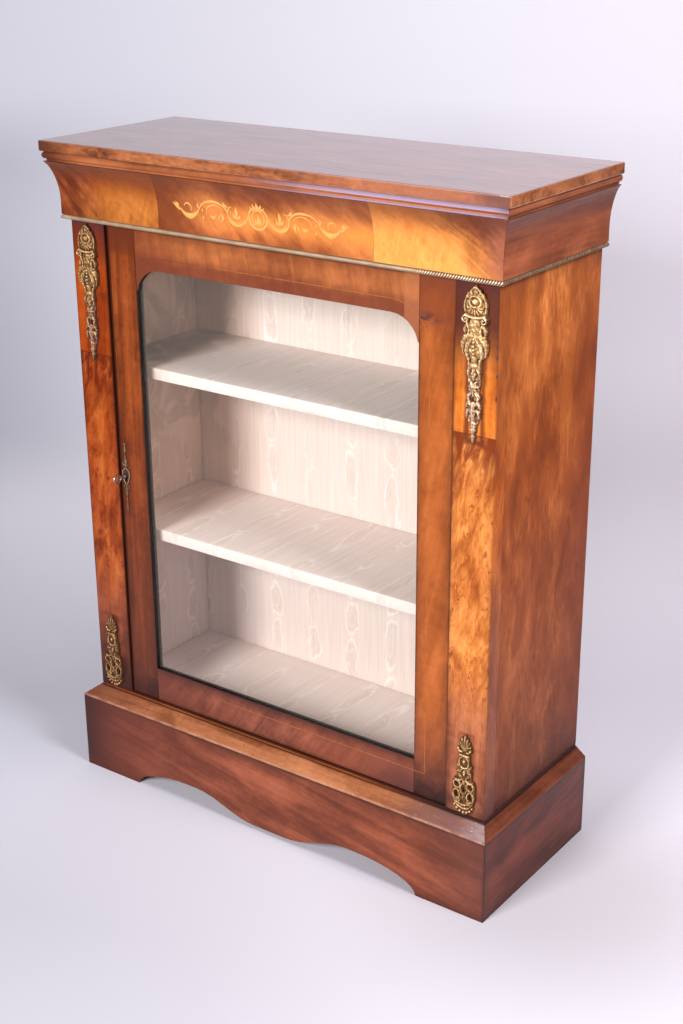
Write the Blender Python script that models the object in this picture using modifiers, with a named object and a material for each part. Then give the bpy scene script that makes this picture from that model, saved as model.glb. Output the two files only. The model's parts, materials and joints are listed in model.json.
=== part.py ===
"""Glazed side cabinet in veneered walnut: one door with a lock, two lined shelves, gilt mounts.

Metres, +Z up. The origin is on the floor under the middle of the cabinet, and the door faces -Y.
Every wooden, brass and glass piece is its own object. The door, the key and the bolt hang from
empties that stand on their axes.
"""

import bpy
import bmesh
from math import cos, hypot, pi, radians, sin, sqrt
from mathutils import Matrix, Vector

# Fits
SEAT_GAP = 0.0003          # between pieces that are glued or screwed together
CUT_OVERRUN = 0.004        # how far a cutter runs past the face that it opens
EASED_EDGE = 0.0007        # worn corner of a veneered board
WELD = 0.000001            # points nearer than this become one

# Carcase
CARCASE_WIDTH = 0.750
CARCASE_DEPTH = 0.2735
OPENING_HEIGHT = 0.7815    # from the bottom board to the frieze rail
SIDE_THICK = 0.020
FRONT_THICK = 0.025        # pilasters and frieze rail
PILASTER_WIDTH = 0.0665
BOTTOM_THICK = 0.019
BOTTOM_REVEAL = 0.004      # dark edge of the bottom board that shows above the plinth
TOP_RAIL_THICK = 0.018     # board that the top is screwed to
BACK_THICK = 0.019
BACK_INSET = 0.0007
BACK_REBATE_WIDTH = 0.010
BACK_BOARDS = 4
BACK_GROOVE = 0.003

# Plinth
PLINTH_HEIGHT = 0.1307
PLINTH_FRONT_PROJECTION = 0.0278
PLINTH_SIDE_PROJECTION = 0.018
PLINTH_FRONT_THICK = 0.034
PLINTH_SIDE_THICK = 0.026
PLINTH_BACK_THICK = 0.020
PLINTH_SLOPE_RISE = 0.0158  # sloping top moulding
PLINTH_NOSING = 0.0016      # small upright edge under the slope
ARCH_SPRING = 0.2765        # where the feet end, from the middle
ARCH_CROWN_INNER = 0.150    # where the flat crown starts, from the middle
ARCH_CROWN_FLAT = 0.015
ARCH_HEIGHT = 0.034
PENDANT_HALF = 0.030        # flat belly of the apron's middle
PENDANT_CLEARANCE = 0.0075  # under the belly
ARCH_STEPS = 8

# Cornice
BEAD_HEIGHT = 0.0074
BEAD_PROJECTION = 0.0122
COVE_HEIGHT = 0.0798
COVE_FOOT_PROJECTION = 0.0102
COVE_HEAD_PROJECTION = 0.0268
COVE_UPRIGHT = 0.020        # plain part under the hollow
COVE_CURVE_SHARE = 0.75
COVE_STEPS = 10
TOP_MOULD_HEIGHT = 0.0142
TOP_MOULD_PROJECTION = 0.0281
TOP_MOULD_FILLET = 0.0028
TOP_MOULD_STEPS = 6
CORNICE_SIDE_SHARE = 0.89   # side projection over front projection
TOP_THICK = 0.016
TOP_FRONT_PROJECTION = 0.0305
TOP_SIDE_PROJECTION = 0.028
TOP_EDGE_ROUND = 0.0022
BEAD_STEPS = 6

# Door
DOOR_RECESS = 0.0035        # behind the pilasters' faces
DOOR_THICK = 0.022
DOOR_HEAD_GAP = 0.0015
DOOR_FOOT_GAP = 0.0015
DOOR_HINGE_GAP = 0.0014
DOOR_LOCK_GAP = 0.0025
WINDOW_WIDTH = 0.502
WINDOW_FOOT = 0.057         # height of the bottom rail
WINDOW_HEAD = 0.058         # height of the top rail
WINDOW_CORNER = 0.045
WINDOW_CORNER_STEPS = 7
SPANDREL_TIP = 0.0006       # blunt end of a spandrel, where it dies into the stile
GLASS_SETBACK = 0.0068
GLASS_THICK = 0.003
GLASS_REBATE = 0.008
GLASS_PLAY = 0.0012
GLAZING_BEAD = 0.0052

# Pivots at the head and foot of the hanging stile
PIVOT_FROM_EDGE = 0.013
PIVOT_FROM_FACE = 0.0058
PIVOT_PIN_RADIUS = 0.0024
PIVOT_PIN_RISE = 0.0075
PIVOT_PLAY = 0.0004
PIVOT_PLATE_LENGTH = 0.038
PIVOT_PLATE_WIDTH = 0.0092
PIVOT_PLATE_THICK = 0.002
PIVOT_PLATE_END = 0.009     # from the pin to the plate's nearer end
SWING_CLEARANCE = 0.0005    # behind the corner that swings back as the door opens
ROUND_SIDES = 20

# Lock, bolt and key
LOCK_HEIGHT = 0.3845        # key above the bottom board
LOCK_BACKSET = 0.0115
LOCK_WIDTH = 0.040
LOCK_TALL = 0.060
LOCK_DEEP = 0.0122
LOCK_WALL = 0.0014
LOCK_ABOVE_KEY = 0.026
BOLT_THROW = 0.008
BOLT_TALL = 0.011
BOLT_THICK = 0.0055
BOLT_LENGTH = 0.030
BOLT_BELOW_KEY = 0.0036     # from the key's axis to the bolt's upper edge
BOLT_PLAY = 0.0006
TALON_LEAD = 0.0035         # notch in front of the bit
TALON_LAG = 0.0018          # notch behind the bit
KEY_STEM_RADIUS = 0.0023
KEY_BIT_RADIUS = 0.0082
KEY_BIT_THICK = 0.0024
KEY_BIT_WIDE = 0.005
KEY_BIT_SETBACK = 0.0014    # from the stem's end
KEY_HOLE_PLAY = 0.0006
KEYHOLE_SLOT_ANGLE = radians(42)  # half of the slot's mouth, seen from the stem
KEY_BOW_LONG = 0.018
KEY_BOW_TALL = 0.0155
KEY_BOW_WIRE = 0.0014
KEY_BOW_REACH = 0.021       # bow's centre in front of the door
KEY_COLLAR_RADIUS = 0.0034
KEY_COLLAR_LONG = 0.0022
KEY_COLLAR_REACH = 0.0055
KEEP_WIDE = 0.012
KEEP_TALL = 0.040
KEEP_THICK = 0.0012
ESCUTCHEON_TALL = 0.120
ESCUTCHEON_WIDE = 0.0165
ESCUTCHEON_THICK = 0.0018
KEYHOLE_PLACE_SHARE = 0.53  # key's height on the escutcheon
STOP_LAP = 0.005            # door stop behind the lock stile
STOP_THICK = 0.004
STOP_WIDE = 0.013

# Lining and shelves
LINING_THICK = 0.0032
LINING_EDGE = 0.0005
SHELF_THICK = 0.0185
SHELF_PLAY = 0.0008
SHELF_EDGE = 0.0022
LOWER_SHELF_RISE = 0.2925   # shelf tops above the bottom board
UPPER_SHELF_RISE = 0.561
BEARER_TALL = 0.016
BEARER_WIDE = 0.012
BEARER_SETBACK = 0.012
BEARER_EDGE = 0.002

# Gilt mounts
UPPER_MOUNT_TALL = 0.2125
UPPER_MOUNT_WIDE = 0.039
UPPER_MOUNT_RELIEF = 0.0108
UPPER_MOUNT_DROP = 0.003    # under the bead
LOWER_MOUNT_TALL = 0.1305
LOWER_MOUNT_WIDE = 0.037
LOWER_MOUNT_RELIEF = 0.0088
LOWER_MOUNT_RISE = 0.0006   # above the bottom board
MOUNT_PLATE_SHARE = 0.24    # thin cast ground, as a share of the relief
FORM_ROUNDS = 9
FORM_RINGS = 5

# Half of the escutcheon's outline: (height share, half width share), from its foot to its head
ESCUTCHEON_SHARES = [
    (0.000, 0.06), (0.040, 0.30), (0.090, 0.42), (0.130, 0.22), (0.200, 0.34), (0.280, 0.50),
    (0.360, 0.66), (0.430, 0.92), (0.500, 1.00), (0.570, 0.98), (0.630, 0.80), (0.690, 0.92),
    (0.740, 0.62), (0.800, 0.44), (0.860, 0.64), (0.920, 0.56), (0.965, 0.34), (1.000, 0.06),
]
# Half outlines of the gilt mounts: (height share, half width share), from the foot to the head
UPPER_MOUNT_SHARES = [
    (0.000, 0.04), (0.050, 0.15), (0.105, 0.28), (0.147, 0.42), (0.190, 0.55), (0.240, 0.58),
    (0.288, 0.48), (0.330, 0.42), (0.385, 0.51), (0.450, 0.48), (0.498, 0.46), (0.530, 0.56),
    (0.555, 0.82), (0.580, 0.95), (0.612, 1.00), (0.667, 0.92), (0.710, 0.79), (0.744, 0.72),
    (0.780, 0.86), (0.828, 0.90), (0.877, 0.80), (0.920, 0.62), (0.965, 0.30), (1.000, 0.05),
]
LOWER_MOUNT_SHARES = [
    (0.000, 0.22), (0.043, 0.58), (0.091, 0.77), (0.146, 0.92), (0.201, 1.00), (0.264, 1.00),
    (0.319, 0.95), (0.382, 0.92), (0.437, 0.88), (0.470, 0.70), (0.500, 0.62), (0.563, 0.60),
    (0.618, 0.68), (0.660, 0.54), (0.710, 0.50), (0.768, 0.44), (0.815, 0.58), (0.870, 0.54),
    (0.933, 0.38), (0.972, 0.18), (1.000, 0.05),
]
# Raised forms: across, up, half width, half height, relief, and lean as a share of a right angle
UPPER_MOUNT_FORM_SHARES = [
    (0.00, 0.06, 0.16, 0.055, 0.45, 0), (0.00, 0.150, 0.26, 0.050, 0.60, 0),
    (0.30, 0.205, 0.22, 0.040, 0.50, 0.33), (0.00, 0.255, 0.24, 0.032, 0.62, 0),
    (0.22, 0.300, 0.16, 0.030, 0.48, -0.22), (0.00, 0.385, 0.32, 0.036, 0.66, 0),
    (0.26, 0.440, 0.24, 0.026, 0.58, 0.39), (0.00, 0.500, 0.24, 0.045, 0.74, 0),
    (0.56, 0.600, 0.32, 0.052, 0.66, 0.27), (0.22, 0.600, 0.24, 0.060, 0.84, 0.09),
    (0.00, 0.690, 0.42, 0.090, 1.00, 0), (0.66, 0.790, 0.26, 0.030, 0.86, 0),
    (0.00, 0.860, 0.54, 0.048, 0.92, 0), (0.40, 0.880, 0.22, 0.045, 0.62, 0.31),
    (0.00, 0.945, 0.18, 0.050, 0.60, 0),
]
LOWER_MOUNT_FORM_SHARES = [
    (0.00, 0.110, 0.50, 0.075, 0.95, 0), (0.42, 0.090, 0.24, 0.060, 0.60, 0.44),
    (0.74, 0.210, 0.17, 0.085, 0.70, 0.07), (0.72, 0.360, 0.18, 0.090, 0.66, -0.09),
    (0.30, 0.265, 0.15, 0.080, 0.62, -0.33), (0.34, 0.430, 0.18, 0.075, 0.66, 0.33),
    (0.00, 0.500, 0.20, 0.055, 0.72, 0), (0.54, 0.520, 0.20, 0.055, 0.56, -0.28),
    (0.30, 0.660, 0.15, 0.090, 0.62, 0), (0.00, 0.665, 0.17, 0.060, 0.84, 0),
    (0.00, 0.775, 0.30, 0.022, 0.70, 0), (0.00, 0.870, 0.16, 0.080, 0.90, 0),
    (0.26, 0.860, 0.15, 0.068, 0.74, -0.22),
]
# Piercings: across, up, half width, half height
UPPER_PIERCING_SHARES = [(0.00, 0.318, 0.10, 0.018)]
LOWER_PIERCING_SHARES = [
    (0.00, 0.320, 0.17, 0.070), (0.52, 0.290, 0.09, 0.060), (0.48, 0.435, 0.08, 0.035),
]

# Places worked out from the sizes above
HALF_WIDTH = CARCASE_WIDTH / 2
BACK_Y = (CARCASE_DEPTH + TOP_FRONT_PROJECTION) / 2
FACE_Y = BACK_Y - CARCASE_DEPTH
BEHIND_FRONT_Y = FACE_Y + FRONT_THICK
PLINTH_TOP_Z = PLINTH_HEIGHT + PLINTH_SLOPE_RISE
BOTTOM_TOP_Z = PLINTH_TOP_Z + BOTTOM_REVEAL
RAIL_Z = BOTTOM_TOP_Z + OPENING_HEIGHT
COVE_Z = RAIL_Z + BEAD_HEIGHT + 2 * SEAT_GAP
TOP_MOULD_Z = COVE_Z + COVE_HEIGHT
TOP_Z = TOP_MOULD_Z + TOP_MOULD_HEIGHT
PILASTER_X = HALF_WIDTH - PILASTER_WIDTH
DOOR_FACE_Y = FACE_Y + DOOR_RECESS
DOOR_BACK_Y = DOOR_FACE_Y + DOOR_THICK
DOOR_LOW_Z = BOTTOM_TOP_Z + DOOR_FOOT_GAP
DOOR_HIGH_Z = RAIL_Z - DOOR_HEAD_GAP
DOOR_LOCK_X = -PILASTER_X + DOOR_LOCK_GAP
DOOR_HINGE_X = PILASTER_X - DOOR_HINGE_GAP
WINDOW_X = WINDOW_WIDTH / 2
WINDOW_LOW_Z = DOOR_LOW_Z + WINDOW_FOOT
WINDOW_HIGH_Z = DOOR_HIGH_Z - WINDOW_HEAD
GLASS_Y = DOOR_FACE_Y + GLASS_SETBACK
PIVOT_X = DOOR_HINGE_X - PIVOT_FROM_EDGE
PIVOT_Y = DOOR_FACE_Y + PIVOT_FROM_FACE
KEY_X = DOOR_LOCK_X + LOCK_BACKSET
KEY_Z = BOTTOM_TOP_Z + LOCK_HEIGHT
LOCK_Y = DOOR_BACK_Y - LOCK_DEEP
LINING_X = HALF_WIDTH - SIDE_THICK - SEAT_GAP - LINING_THICK
BACK_PANEL_Y = BACK_Y - BACK_INSET - BACK_THICK
LINING_BACK_Y = BACK_PANEL_Y - SEAT_GAP - LINING_THICK
LINING_FLOOR_Z = BOTTOM_TOP_Z + SEAT_GAP + LINING_THICK
MOUNT_X = (HALF_WIDTH + PILASTER_X) / 2
ARCH_CROWN_OUTER = ARCH_CROWN_INNER + ARCH_CROWN_FLAT
DOOR_SWING = hypot(PIVOT_FROM_EDGE, DOOR_THICK - PIVOT_FROM_FACE)
INSIDE_FRONT_Y = PIVOT_Y + DOOR_SWING + SWING_CLEARANCE

# Colour, roughness and metallic value of each finish
FINISHES = {
    "walnut": ((0.28, 0.085, 0.030), 0.32, 0.0),
    "burr_walnut": ((0.46, 0.165, 0.045), 0.28, 0.0),
    "dark_walnut": ((0.115, 0.038, 0.020), 0.38, 0.0),
    "ebonised": ((0.014, 0.011, 0.010), 0.40, 0.0),
    "pine": ((0.42, 0.27, 0.135), 0.75, 0.0),
    "silk": ((0.70, 0.585, 0.52), 0.55, 0.0),
    "glass": ((0.90, 0.94, 0.92), 0.04, 0.0),
    "gilt": ((0.62, 0.43, 0.17), 0.36, 1.0),
    "brass": ((0.56, 0.42, 0.20), 0.40, 1.0),
    "steel": ((0.36, 0.35, 0.34), 0.42, 1.0),
}

# Turn a plate that lies in the XY plane so that its outline is read in plan, front or side view
PLAN = Matrix.Identity(4)
FRONT = Matrix.Rotation(pi / 2, 4, 'X')
SIDE = Matrix.Rotation(pi / 2, 4, 'Z') @ FRONT


def clear_scene():
    for item in list(bpy.data.objects):
        bpy.data.objects.remove(item, do_unlink=True)


def new_collection(name):
    collection = bpy.data.collections.new(name)
    bpy.context.scene.collection.children.link(collection)
    return collection


def own_material(name, finish):
    """Give a piece its own Principled material from one of the finishes."""
    colour, roughness, metallic = FINISHES[finish]
    material = bpy.data.materials.new(name)
    material.use_nodes = True
    shader = material.node_tree.nodes["Principled BSDF"]
    shader.inputs["Base Color"].default_value = (*colour, 1)
    shader.inputs["Roughness"].default_value = roughness
    shader.inputs["Metallic"].default_value = metallic
    return material


def empty_at(name, place):
    """An empty on a joint's axis, which carries the pieces that move with it."""
    empty = bpy.data.objects.new(name, None)
    PARTS.objects.link(empty)
    empty.location = place
    return empty


def carry(piece, carrier):
    """Hang a piece from an empty and leave it where it stands in the world."""
    piece.parent = carrier
    offset = Vector()
    while carrier is not None:
        offset += carrier.location
        carrier = carrier.parent
    piece.location = Vector(piece.location) - offset


def add_piece(name, mesh, finish, place, carrier=None):
    piece = bpy.data.objects.new(name, mesh)
    PARTS.objects.link(piece)
    piece.location = place
    mesh.materials.clear()
    mesh.materials.append(own_material(name, finish))
    if carrier is not None:
        carry(piece, carrier)
    return piece


def soften(mesh, angle=radians(35)):
    mesh.shade_smooth()
    mesh.set_sharp_from_angle(angle=angle)


def block_mesh(name, size):
    mesh = bpy.data.meshes.new(name)
    shape = bmesh.new()
    bmesh.ops.create_cube(shape, size=1, matrix=Matrix.Diagonal((*size, 1)))
    shape.to_mesh(mesh)
    shape.free()
    return mesh


def ease(piece, width, segments=1):
    bevel = piece.modifiers.new("eased edges", 'BEVEL')
    bevel.width = width
    bevel.segments = segments
    bevel.limit_method = 'ANGLE'
    return piece


def board(name, low, high, finish, edge=0, segments=1, carrier=None):
    """A board between its lowest and highest corners, with eased edges."""
    size = [top - bottom for bottom, top in zip(low, high)]
    middle = [(top + bottom) / 2 for bottom, top in zip(low, high)]
    piece = add_piece(name, block_mesh(name, size), finish, middle, carrier)
    if edge:
        ease(piece, edge, segments)
    return piece


def plate_mesh(name, outlines, thick, turn):
    """Fill the first outline, leave the others open as holes, and extrude the plate about its plane."""
    curve = bpy.data.curves.new(name, 'CURVE')
    curve.dimensions = '2D'
    curve.fill_mode = 'BOTH'
    curve.extrude = thick / 2
    for outline in outlines:
        spline = curve.splines.new('POLY')
        spline.points.add(len(outline) - 1)
        for point, (across, up) in zip(spline.points, outline):
            point.co = (across, up, 0, 1)
        spline.use_cyclic_u = True
    return curve_to_mesh(name, curve, turn)


def curve_to_mesh(name, curve, turn=PLAN):
    """Turn a curve into a welded mesh that modifiers and cuts can work on."""
    guide = bpy.data.objects.new(name, curve)
    CUTTERS.objects.link(guide)
    view = bpy.context.evaluated_depsgraph_get()
    mesh = bpy.data.meshes.new_from_object(guide.evaluated_get(view))
    bpy.data.objects.remove(guide, do_unlink=True)
    shape = bmesh.new()
    shape.from_mesh(mesh)
    bmesh.ops.remove_doubles(shape, verts=shape.verts, dist=WELD)
    shape.to_mesh(mesh)
    shape.free()
    mesh.transform(turn)
    mesh.name = name
    return mesh


def cut_flat(mesh, point, normal):
    """Saw a mesh off along a plane, drop what lies beyond it and close the sawn face."""
    shape = bmesh.new()
    shape.from_mesh(mesh)
    everything = shape.verts[:] + shape.edges[:] + shape.faces[:]
    bmesh.ops.bisect_plane(shape, geom=everything, plane_co=point, plane_no=normal,
                           dist=WELD, clear_outer=True)
    rim = [edge for edge in shape.edges if edge.is_boundary]
    bmesh.ops.holes_fill(shape, edges=rim, sides=0)
    bmesh.ops.recalc_face_normals(shape, faces=shape.faces)
    shape.to_mesh(mesh)
    shape.free()
    return mesh


def cutter(name, mesh, place):
    piece = bpy.data.objects.new(name, mesh)
    CUTTERS.objects.link(piece)
    piece.location = place
    piece.hide_render = True
    piece.display_type = 'WIRE'
    return piece


def block_cutter(name, low, high):
    size = [top - bottom for bottom, top in zip(low, high)]
    middle = [(top + bottom) / 2 for bottom, top in zip(low, high)]
    return cutter(name, block_mesh(name, size), middle)


def drum_mesh(name, radius, length, turn=PLAN):
    mesh = bpy.data.meshes.new(name)
    shape = bmesh.new()
    bmesh.ops.create_cone(shape, cap_ends=True, segments=ROUND_SIDES, radius1=radius,
                          radius2=radius, depth=length, matrix=turn)
    shape.to_mesh(mesh)
    shape.free()
    return mesh


def boolean(piece, tool, operation='DIFFERENCE'):
    """Cut a piece with another object, or join the two."""
    step = piece.modifiers.new(tool.name, 'BOOLEAN')
    step.operation = operation
    step.solver = 'EXACT'
    step.object = tool
    return piece


def mitred_run(name, profile, side, finish, projection, side_share):
    """One length of a moulding that goes round the front and both sides, sawn at its corners.

    The profile is a list of (projection in front of the carcase, height). The moulding's side
    runs project by side_share of the front run, so the saw cut follows that slope in plan.
    """
    slope = Vector((1, side_share, 0)).normalized()
    if side == "front":
        reach = HALF_WIDTH + projection
        outline = [(FACE_Y - out, up) for out, up in profile]
        mesh = plate_mesh(name, [outline], 2 * reach, SIDE)
        for hand in (-1, 1):
            normal = Vector((hand * slope.x, slope.y, 0))
            corner = Vector((hand * HALF_WIDTH, FACE_Y, 0)) - normal * SEAT_GAP / 2
            cut_flat(mesh, corner, normal)
        soften(mesh)
        return add_piece(name, mesh, finish, (0, 0, 0))
    hand = -1 if side == "left" else 1
    front = FACE_Y - projection
    outline = [(hand * (HALF_WIDTH + out * side_share), up) for out, up in profile]
    mesh = plate_mesh(name, [outline], BACK_Y - front, FRONT)
    mesh.transform(Matrix.Translation((0, (BACK_Y + front) / 2, 0)))
    normal = Vector((-hand * slope.x, -slope.y, 0))
    corner = Vector((hand * HALF_WIDTH, FACE_Y, 0)) - normal * SEAT_GAP / 2
    cut_flat(mesh, corner, normal)
    soften(mesh)
    return add_piece(name, mesh, finish, (0, 0, 0))


def make_top():
    depth = CARCASE_DEPTH + TOP_FRONT_PROJECTION
    half = HALF_WIDTH + TOP_SIDE_PROJECTION
    low = (-half, BACK_Y - depth, TOP_Z + SEAT_GAP)
    high = (half, BACK_Y, TOP_Z + SEAT_GAP + TOP_THICK)
    top = board("top_board", low, high, "dark_walnut", TOP_EDGE_ROUND, 2)
    soften(top.data)


def top_mould_profile():
    """A half round nosing over a small fillet."""
    low = TOP_MOULD_Z + SEAT_GAP
    centre = low + TOP_MOULD_FILLET + (TOP_Z - low - TOP_MOULD_FILLET) / 2
    radius = TOP_Z - centre
    nose = TOP_MOULD_PROJECTION - radius
    points = [(SEAT_GAP, low), (nose, low)]
    for step in range(TOP_MOULD_STEPS + 1):
        angle = -pi / 2 + pi * step / TOP_MOULD_STEPS
        points.append((nose + radius * cos(angle), centre + radius * sin(angle)))
    points.append((SEAT_GAP, TOP_Z))
    return points


def cove_profile():
    """An upright foot that flares out in a hollow to the moulding above."""
    hollow = COVE_HEIGHT - COVE_UPRIGHT
    flare = COVE_HEAD_PROJECTION - COVE_FOOT_PROJECTION
    points = [(SEAT_GAP, COVE_Z), (COVE_FOOT_PROJECTION, COVE_Z)]
    for step in range(COVE_STEPS + 1):
        rise = step / COVE_STEPS
        out = COVE_FOOT_PROJECTION + flare * (1 - (1 - rise * rise) ** COVE_CURVE_SHARE)
        points.append((out, COVE_Z + COVE_UPRIGHT + hollow * rise))
    points.append((SEAT_GAP, TOP_MOULD_Z))
    return points


def bead_profile():
    """The gilt bead under the cove: flat at its back, half round at its front."""
    low = RAIL_Z + SEAT_GAP
    radius = BEAD_HEIGHT / 2
    nose = BEAD_PROJECTION - radius
    points = [(SEAT_GAP, low)]
    for step in range(BEAD_STEPS + 1):
        angle = -pi / 2 + pi * step / BEAD_STEPS
        points.append((nose + radius * cos(angle), low + radius + radius * sin(angle)))
    points.append((SEAT_GAP, low + BEAD_HEIGHT))
    return points


def make_cornice():
    for side in ("front", "left", "right"):
        mitred_run("top_moulding_" + side, top_mould_profile(), side, "walnut",
                   TOP_MOULD_PROJECTION, CORNICE_SIDE_SHARE)
        mitred_run("frieze_cove_" + side, cove_profile(), side, "walnut",
                   COVE_HEAD_PROJECTION, CORNICE_SIDE_SHARE)
        mitred_run("gilt_bead_" + side, bead_profile(), side, "gilt",
                   BEAD_PROJECTION, CORNICE_SIDE_SHARE)


def plinth_slope_profile():
    """The sloping moulding that leads from the plinth's face up to the carcase."""
    low = PLINTH_HEIGHT + SEAT_GAP
    return [(SEAT_GAP, low), (PLINTH_FRONT_PROJECTION, low),
            (PLINTH_FRONT_PROJECTION, low + PLINTH_NOSING), (SEAT_GAP, PLINTH_TOP_Z)]


def apron_height(place):
    """Height of the apron's lower edge at a distance from the middle."""
    place = abs(place)
    if place >= ARCH_SPRING:
        return 0
    if place >= ARCH_CROWN_OUTER:
        along = (place - ARCH_CROWN_OUTER) / (ARCH_SPRING - ARCH_CROWN_OUTER)
        return ARCH_HEIGHT * sqrt(1 - along * along)
    if place >= ARCH_CROWN_INNER:
        return ARCH_HEIGHT
    if place <= PENDANT_HALF:
        return PENDANT_CLEARANCE
    along = (ARCH_CROWN_INNER - place) / (ARCH_CROWN_INNER - PENDANT_HALF)
    return PENDANT_CLEARANCE + (ARCH_HEIGHT - PENDANT_CLEARANCE) * (1 + cos(pi * along)) / 2


def apron_places():
    """Where the lower edge is read, from the right foot to the middle."""
    quarter = [pi / 2 * step / ARCH_STEPS for step in range(ARCH_STEPS + 1)]
    outer = [ARCH_CROWN_OUTER + (ARCH_SPRING - ARCH_CROWN_OUTER) * cos(angle) for angle in quarter]
    reach = ARCH_CROWN_INNER - PENDANT_HALF
    inner = [ARCH_CROWN_INNER - reach * step / ARCH_STEPS for step in range(ARCH_STEPS + 1)]
    return outer + inner


def make_plinth():
    side_share = PLINTH_SIDE_PROJECTION / PLINTH_FRONT_PROJECTION
    for side in ("front", "left", "right"):
        mitred_run("plinth_moulding_" + side, plinth_slope_profile(), side, "walnut",
                   PLINTH_FRONT_PROJECTION, side_share)
    half = HALF_WIDTH + PLINTH_SIDE_PROJECTION
    front = FACE_Y - PLINTH_FRONT_PROJECTION
    places = apron_places()
    right = [(place, apron_height(place)) for place in places]
    left = [(-place, height) for place, height in reversed(right)]
    outline = [(-half, 0), (-half, PLINTH_HEIGHT), (half, PLINTH_HEIGHT), (half, 0)] + right + left
    mesh = plate_mesh("plinth_front", [outline], PLINTH_FRONT_THICK, FRONT)
    mesh.transform(Matrix.Translation((0, front + PLINTH_FRONT_THICK / 2, 0)))
    slope = Vector((PLINTH_FRONT_THICK, PLINTH_SIDE_THICK, 0)).normalized()
    for hand in (-1, 1):
        normal = Vector((hand * slope.x, slope.y, 0))
        corner = Vector((hand * half, front, 0)) - normal * SEAT_GAP / 2
        cut_flat(mesh, corner, normal)
    soften(mesh)
    add_piece("plinth_front", mesh, "walnut", (0, 0, 0))
    for name, hand in (("plinth_left", -1), ("plinth_right", 1)):
        size = (PLINTH_SIDE_THICK, BACK_Y - front, PLINTH_HEIGHT)
        mesh = block_mesh(name, size)
        mesh.transform(Matrix.Translation((hand * (half - PLINTH_SIDE_THICK / 2),
                                           (BACK_Y + front) / 2, PLINTH_HEIGHT / 2)))
        normal = Vector((-hand * slope.x, -slope.y, 0))
        corner = Vector((hand * half, front, 0)) - normal * SEAT_GAP / 2
        add_piece(name, cut_flat(mesh, corner, normal), "walnut", (0, 0, 0))
    inside = half - PLINTH_SIDE_THICK - SEAT_GAP
    board("plinth_back", (-inside, BACK_Y - PLINTH_BACK_THICK, 0), (inside, BACK_Y, PLINTH_HEIGHT),
          "pine", EASED_EDGE)


def side_outline(hand):
    """Plan of a side panel, with the rebate that the back panel sits in."""
    outer = HALF_WIDTH
    inner = HALF_WIDTH - SIDE_THICK
    step = inner + BACK_REBATE_WIDTH
    front = BEHIND_FRONT_Y + SEAT_GAP
    rebate = BACK_PANEL_Y - SEAT_GAP
    corners = [(inner, front), (outer, front), (outer, BACK_Y), (step, BACK_Y),
               (step, rebate), (inner, rebate)]
    return [(hand * across, deep) for across, deep in corners]


def pilaster_outline(hand):
    """Plan of a pilaster: its two front corners are eased, and its back is square to the side."""
    eased = FACE_Y + EASED_EDGE
    corners = [(PILASTER_X, BEHIND_FRONT_Y), (PILASTER_X, eased), (PILASTER_X + EASED_EDGE, FACE_Y),
               (HALF_WIDTH - EASED_EDGE, FACE_Y), (HALF_WIDTH, eased), (HALF_WIDTH, BEHIND_FRONT_Y)]
    return [(hand * across, deep) for across, deep in corners]


def back_outline():
    """Plan of the back: boards side by side with a V groove at each joint."""
    half = HALF_WIDTH - SIDE_THICK + BACK_REBATE_WIDTH - SEAT_GAP
    back = BACK_Y - BACK_INSET
    points = [(-half, BACK_PANEL_Y), (half, BACK_PANEL_Y), (half, back)]
    for number in range(BACK_BOARDS - 1, 0, -1):
        joint = -half + 2 * half * number / BACK_BOARDS
        points += [(joint + BACK_GROOVE, back), (joint, back - BACK_GROOVE), (joint - BACK_GROOVE, back)]
    return points + [(-half, back)]


def upright(name, outline, low, high, finish):
    """A plan outline raised from one height to another."""
    mesh = plate_mesh(name, [outline], high - low, PLAN)
    return add_piece(name, mesh, finish, (0, 0, (low + high) / 2))


def make_carcase():
    low = BOTTOM_TOP_Z + SEAT_GAP
    board("bottom_board", (-HALF_WIDTH, FACE_Y, BOTTOM_TOP_Z - BOTTOM_THICK),
          (HALF_WIDTH, BACK_Y, BOTTOM_TOP_Z), "ebonised", EASED_EDGE)
    for name, hand in (("side_panel_left", -1), ("side_panel_right", 1)):
        upright(name, side_outline(hand), low, TOP_Z, "walnut")
    for name, hand in (("pilaster_left", -1), ("pilaster_right", 1)):
        upright(name, pilaster_outline(hand), low, RAIL_Z - SEAT_GAP, "burr_walnut")
    board("frieze_rail", (-HALF_WIDTH, FACE_Y, RAIL_Z), (HALF_WIDTH, BEHIND_FRONT_Y, TOP_Z), "walnut")
    inside = HALF_WIDTH - SIDE_THICK - SEAT_GAP
    board("carcase_top", (-inside, BEHIND_FRONT_Y + SEAT_GAP, TOP_Z - TOP_RAIL_THICK),
          (inside, BACK_PANEL_Y - SEAT_GAP, TOP_Z), "pine", EASED_EDGE)
    upright("back_panel", back_outline(), low, TOP_Z, "pine")


def make_lining():
    """Thin boards covered in watered silk, pinned inside the carcase."""
    board("lining_floor", (-LINING_X, INSIDE_FRONT_Y, BOTTOM_TOP_Z + SEAT_GAP),
          (LINING_X, LINING_BACK_Y - SEAT_GAP, LINING_FLOOR_Z), "silk", LINING_EDGE)
    low = BOTTOM_TOP_Z + SEAT_GAP
    high = TOP_Z - TOP_RAIL_THICK - SEAT_GAP
    wall = LINING_X + LINING_THICK
    board("lining_back", (-wall, LINING_BACK_Y, low), (wall, LINING_BACK_Y + LINING_THICK, high),
          "silk", LINING_EDGE)
    front = BEHIND_FRONT_Y + SEAT_GAP
    back = LINING_BACK_Y - SEAT_GAP
    edge = LINING_X + SEAT_GAP
    board("lining_left", (-wall, front, low), (-edge, back, high), "silk", LINING_EDGE)
    board("lining_right", (edge, front, low), (wall, back, high), "silk", LINING_EDGE)


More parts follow.
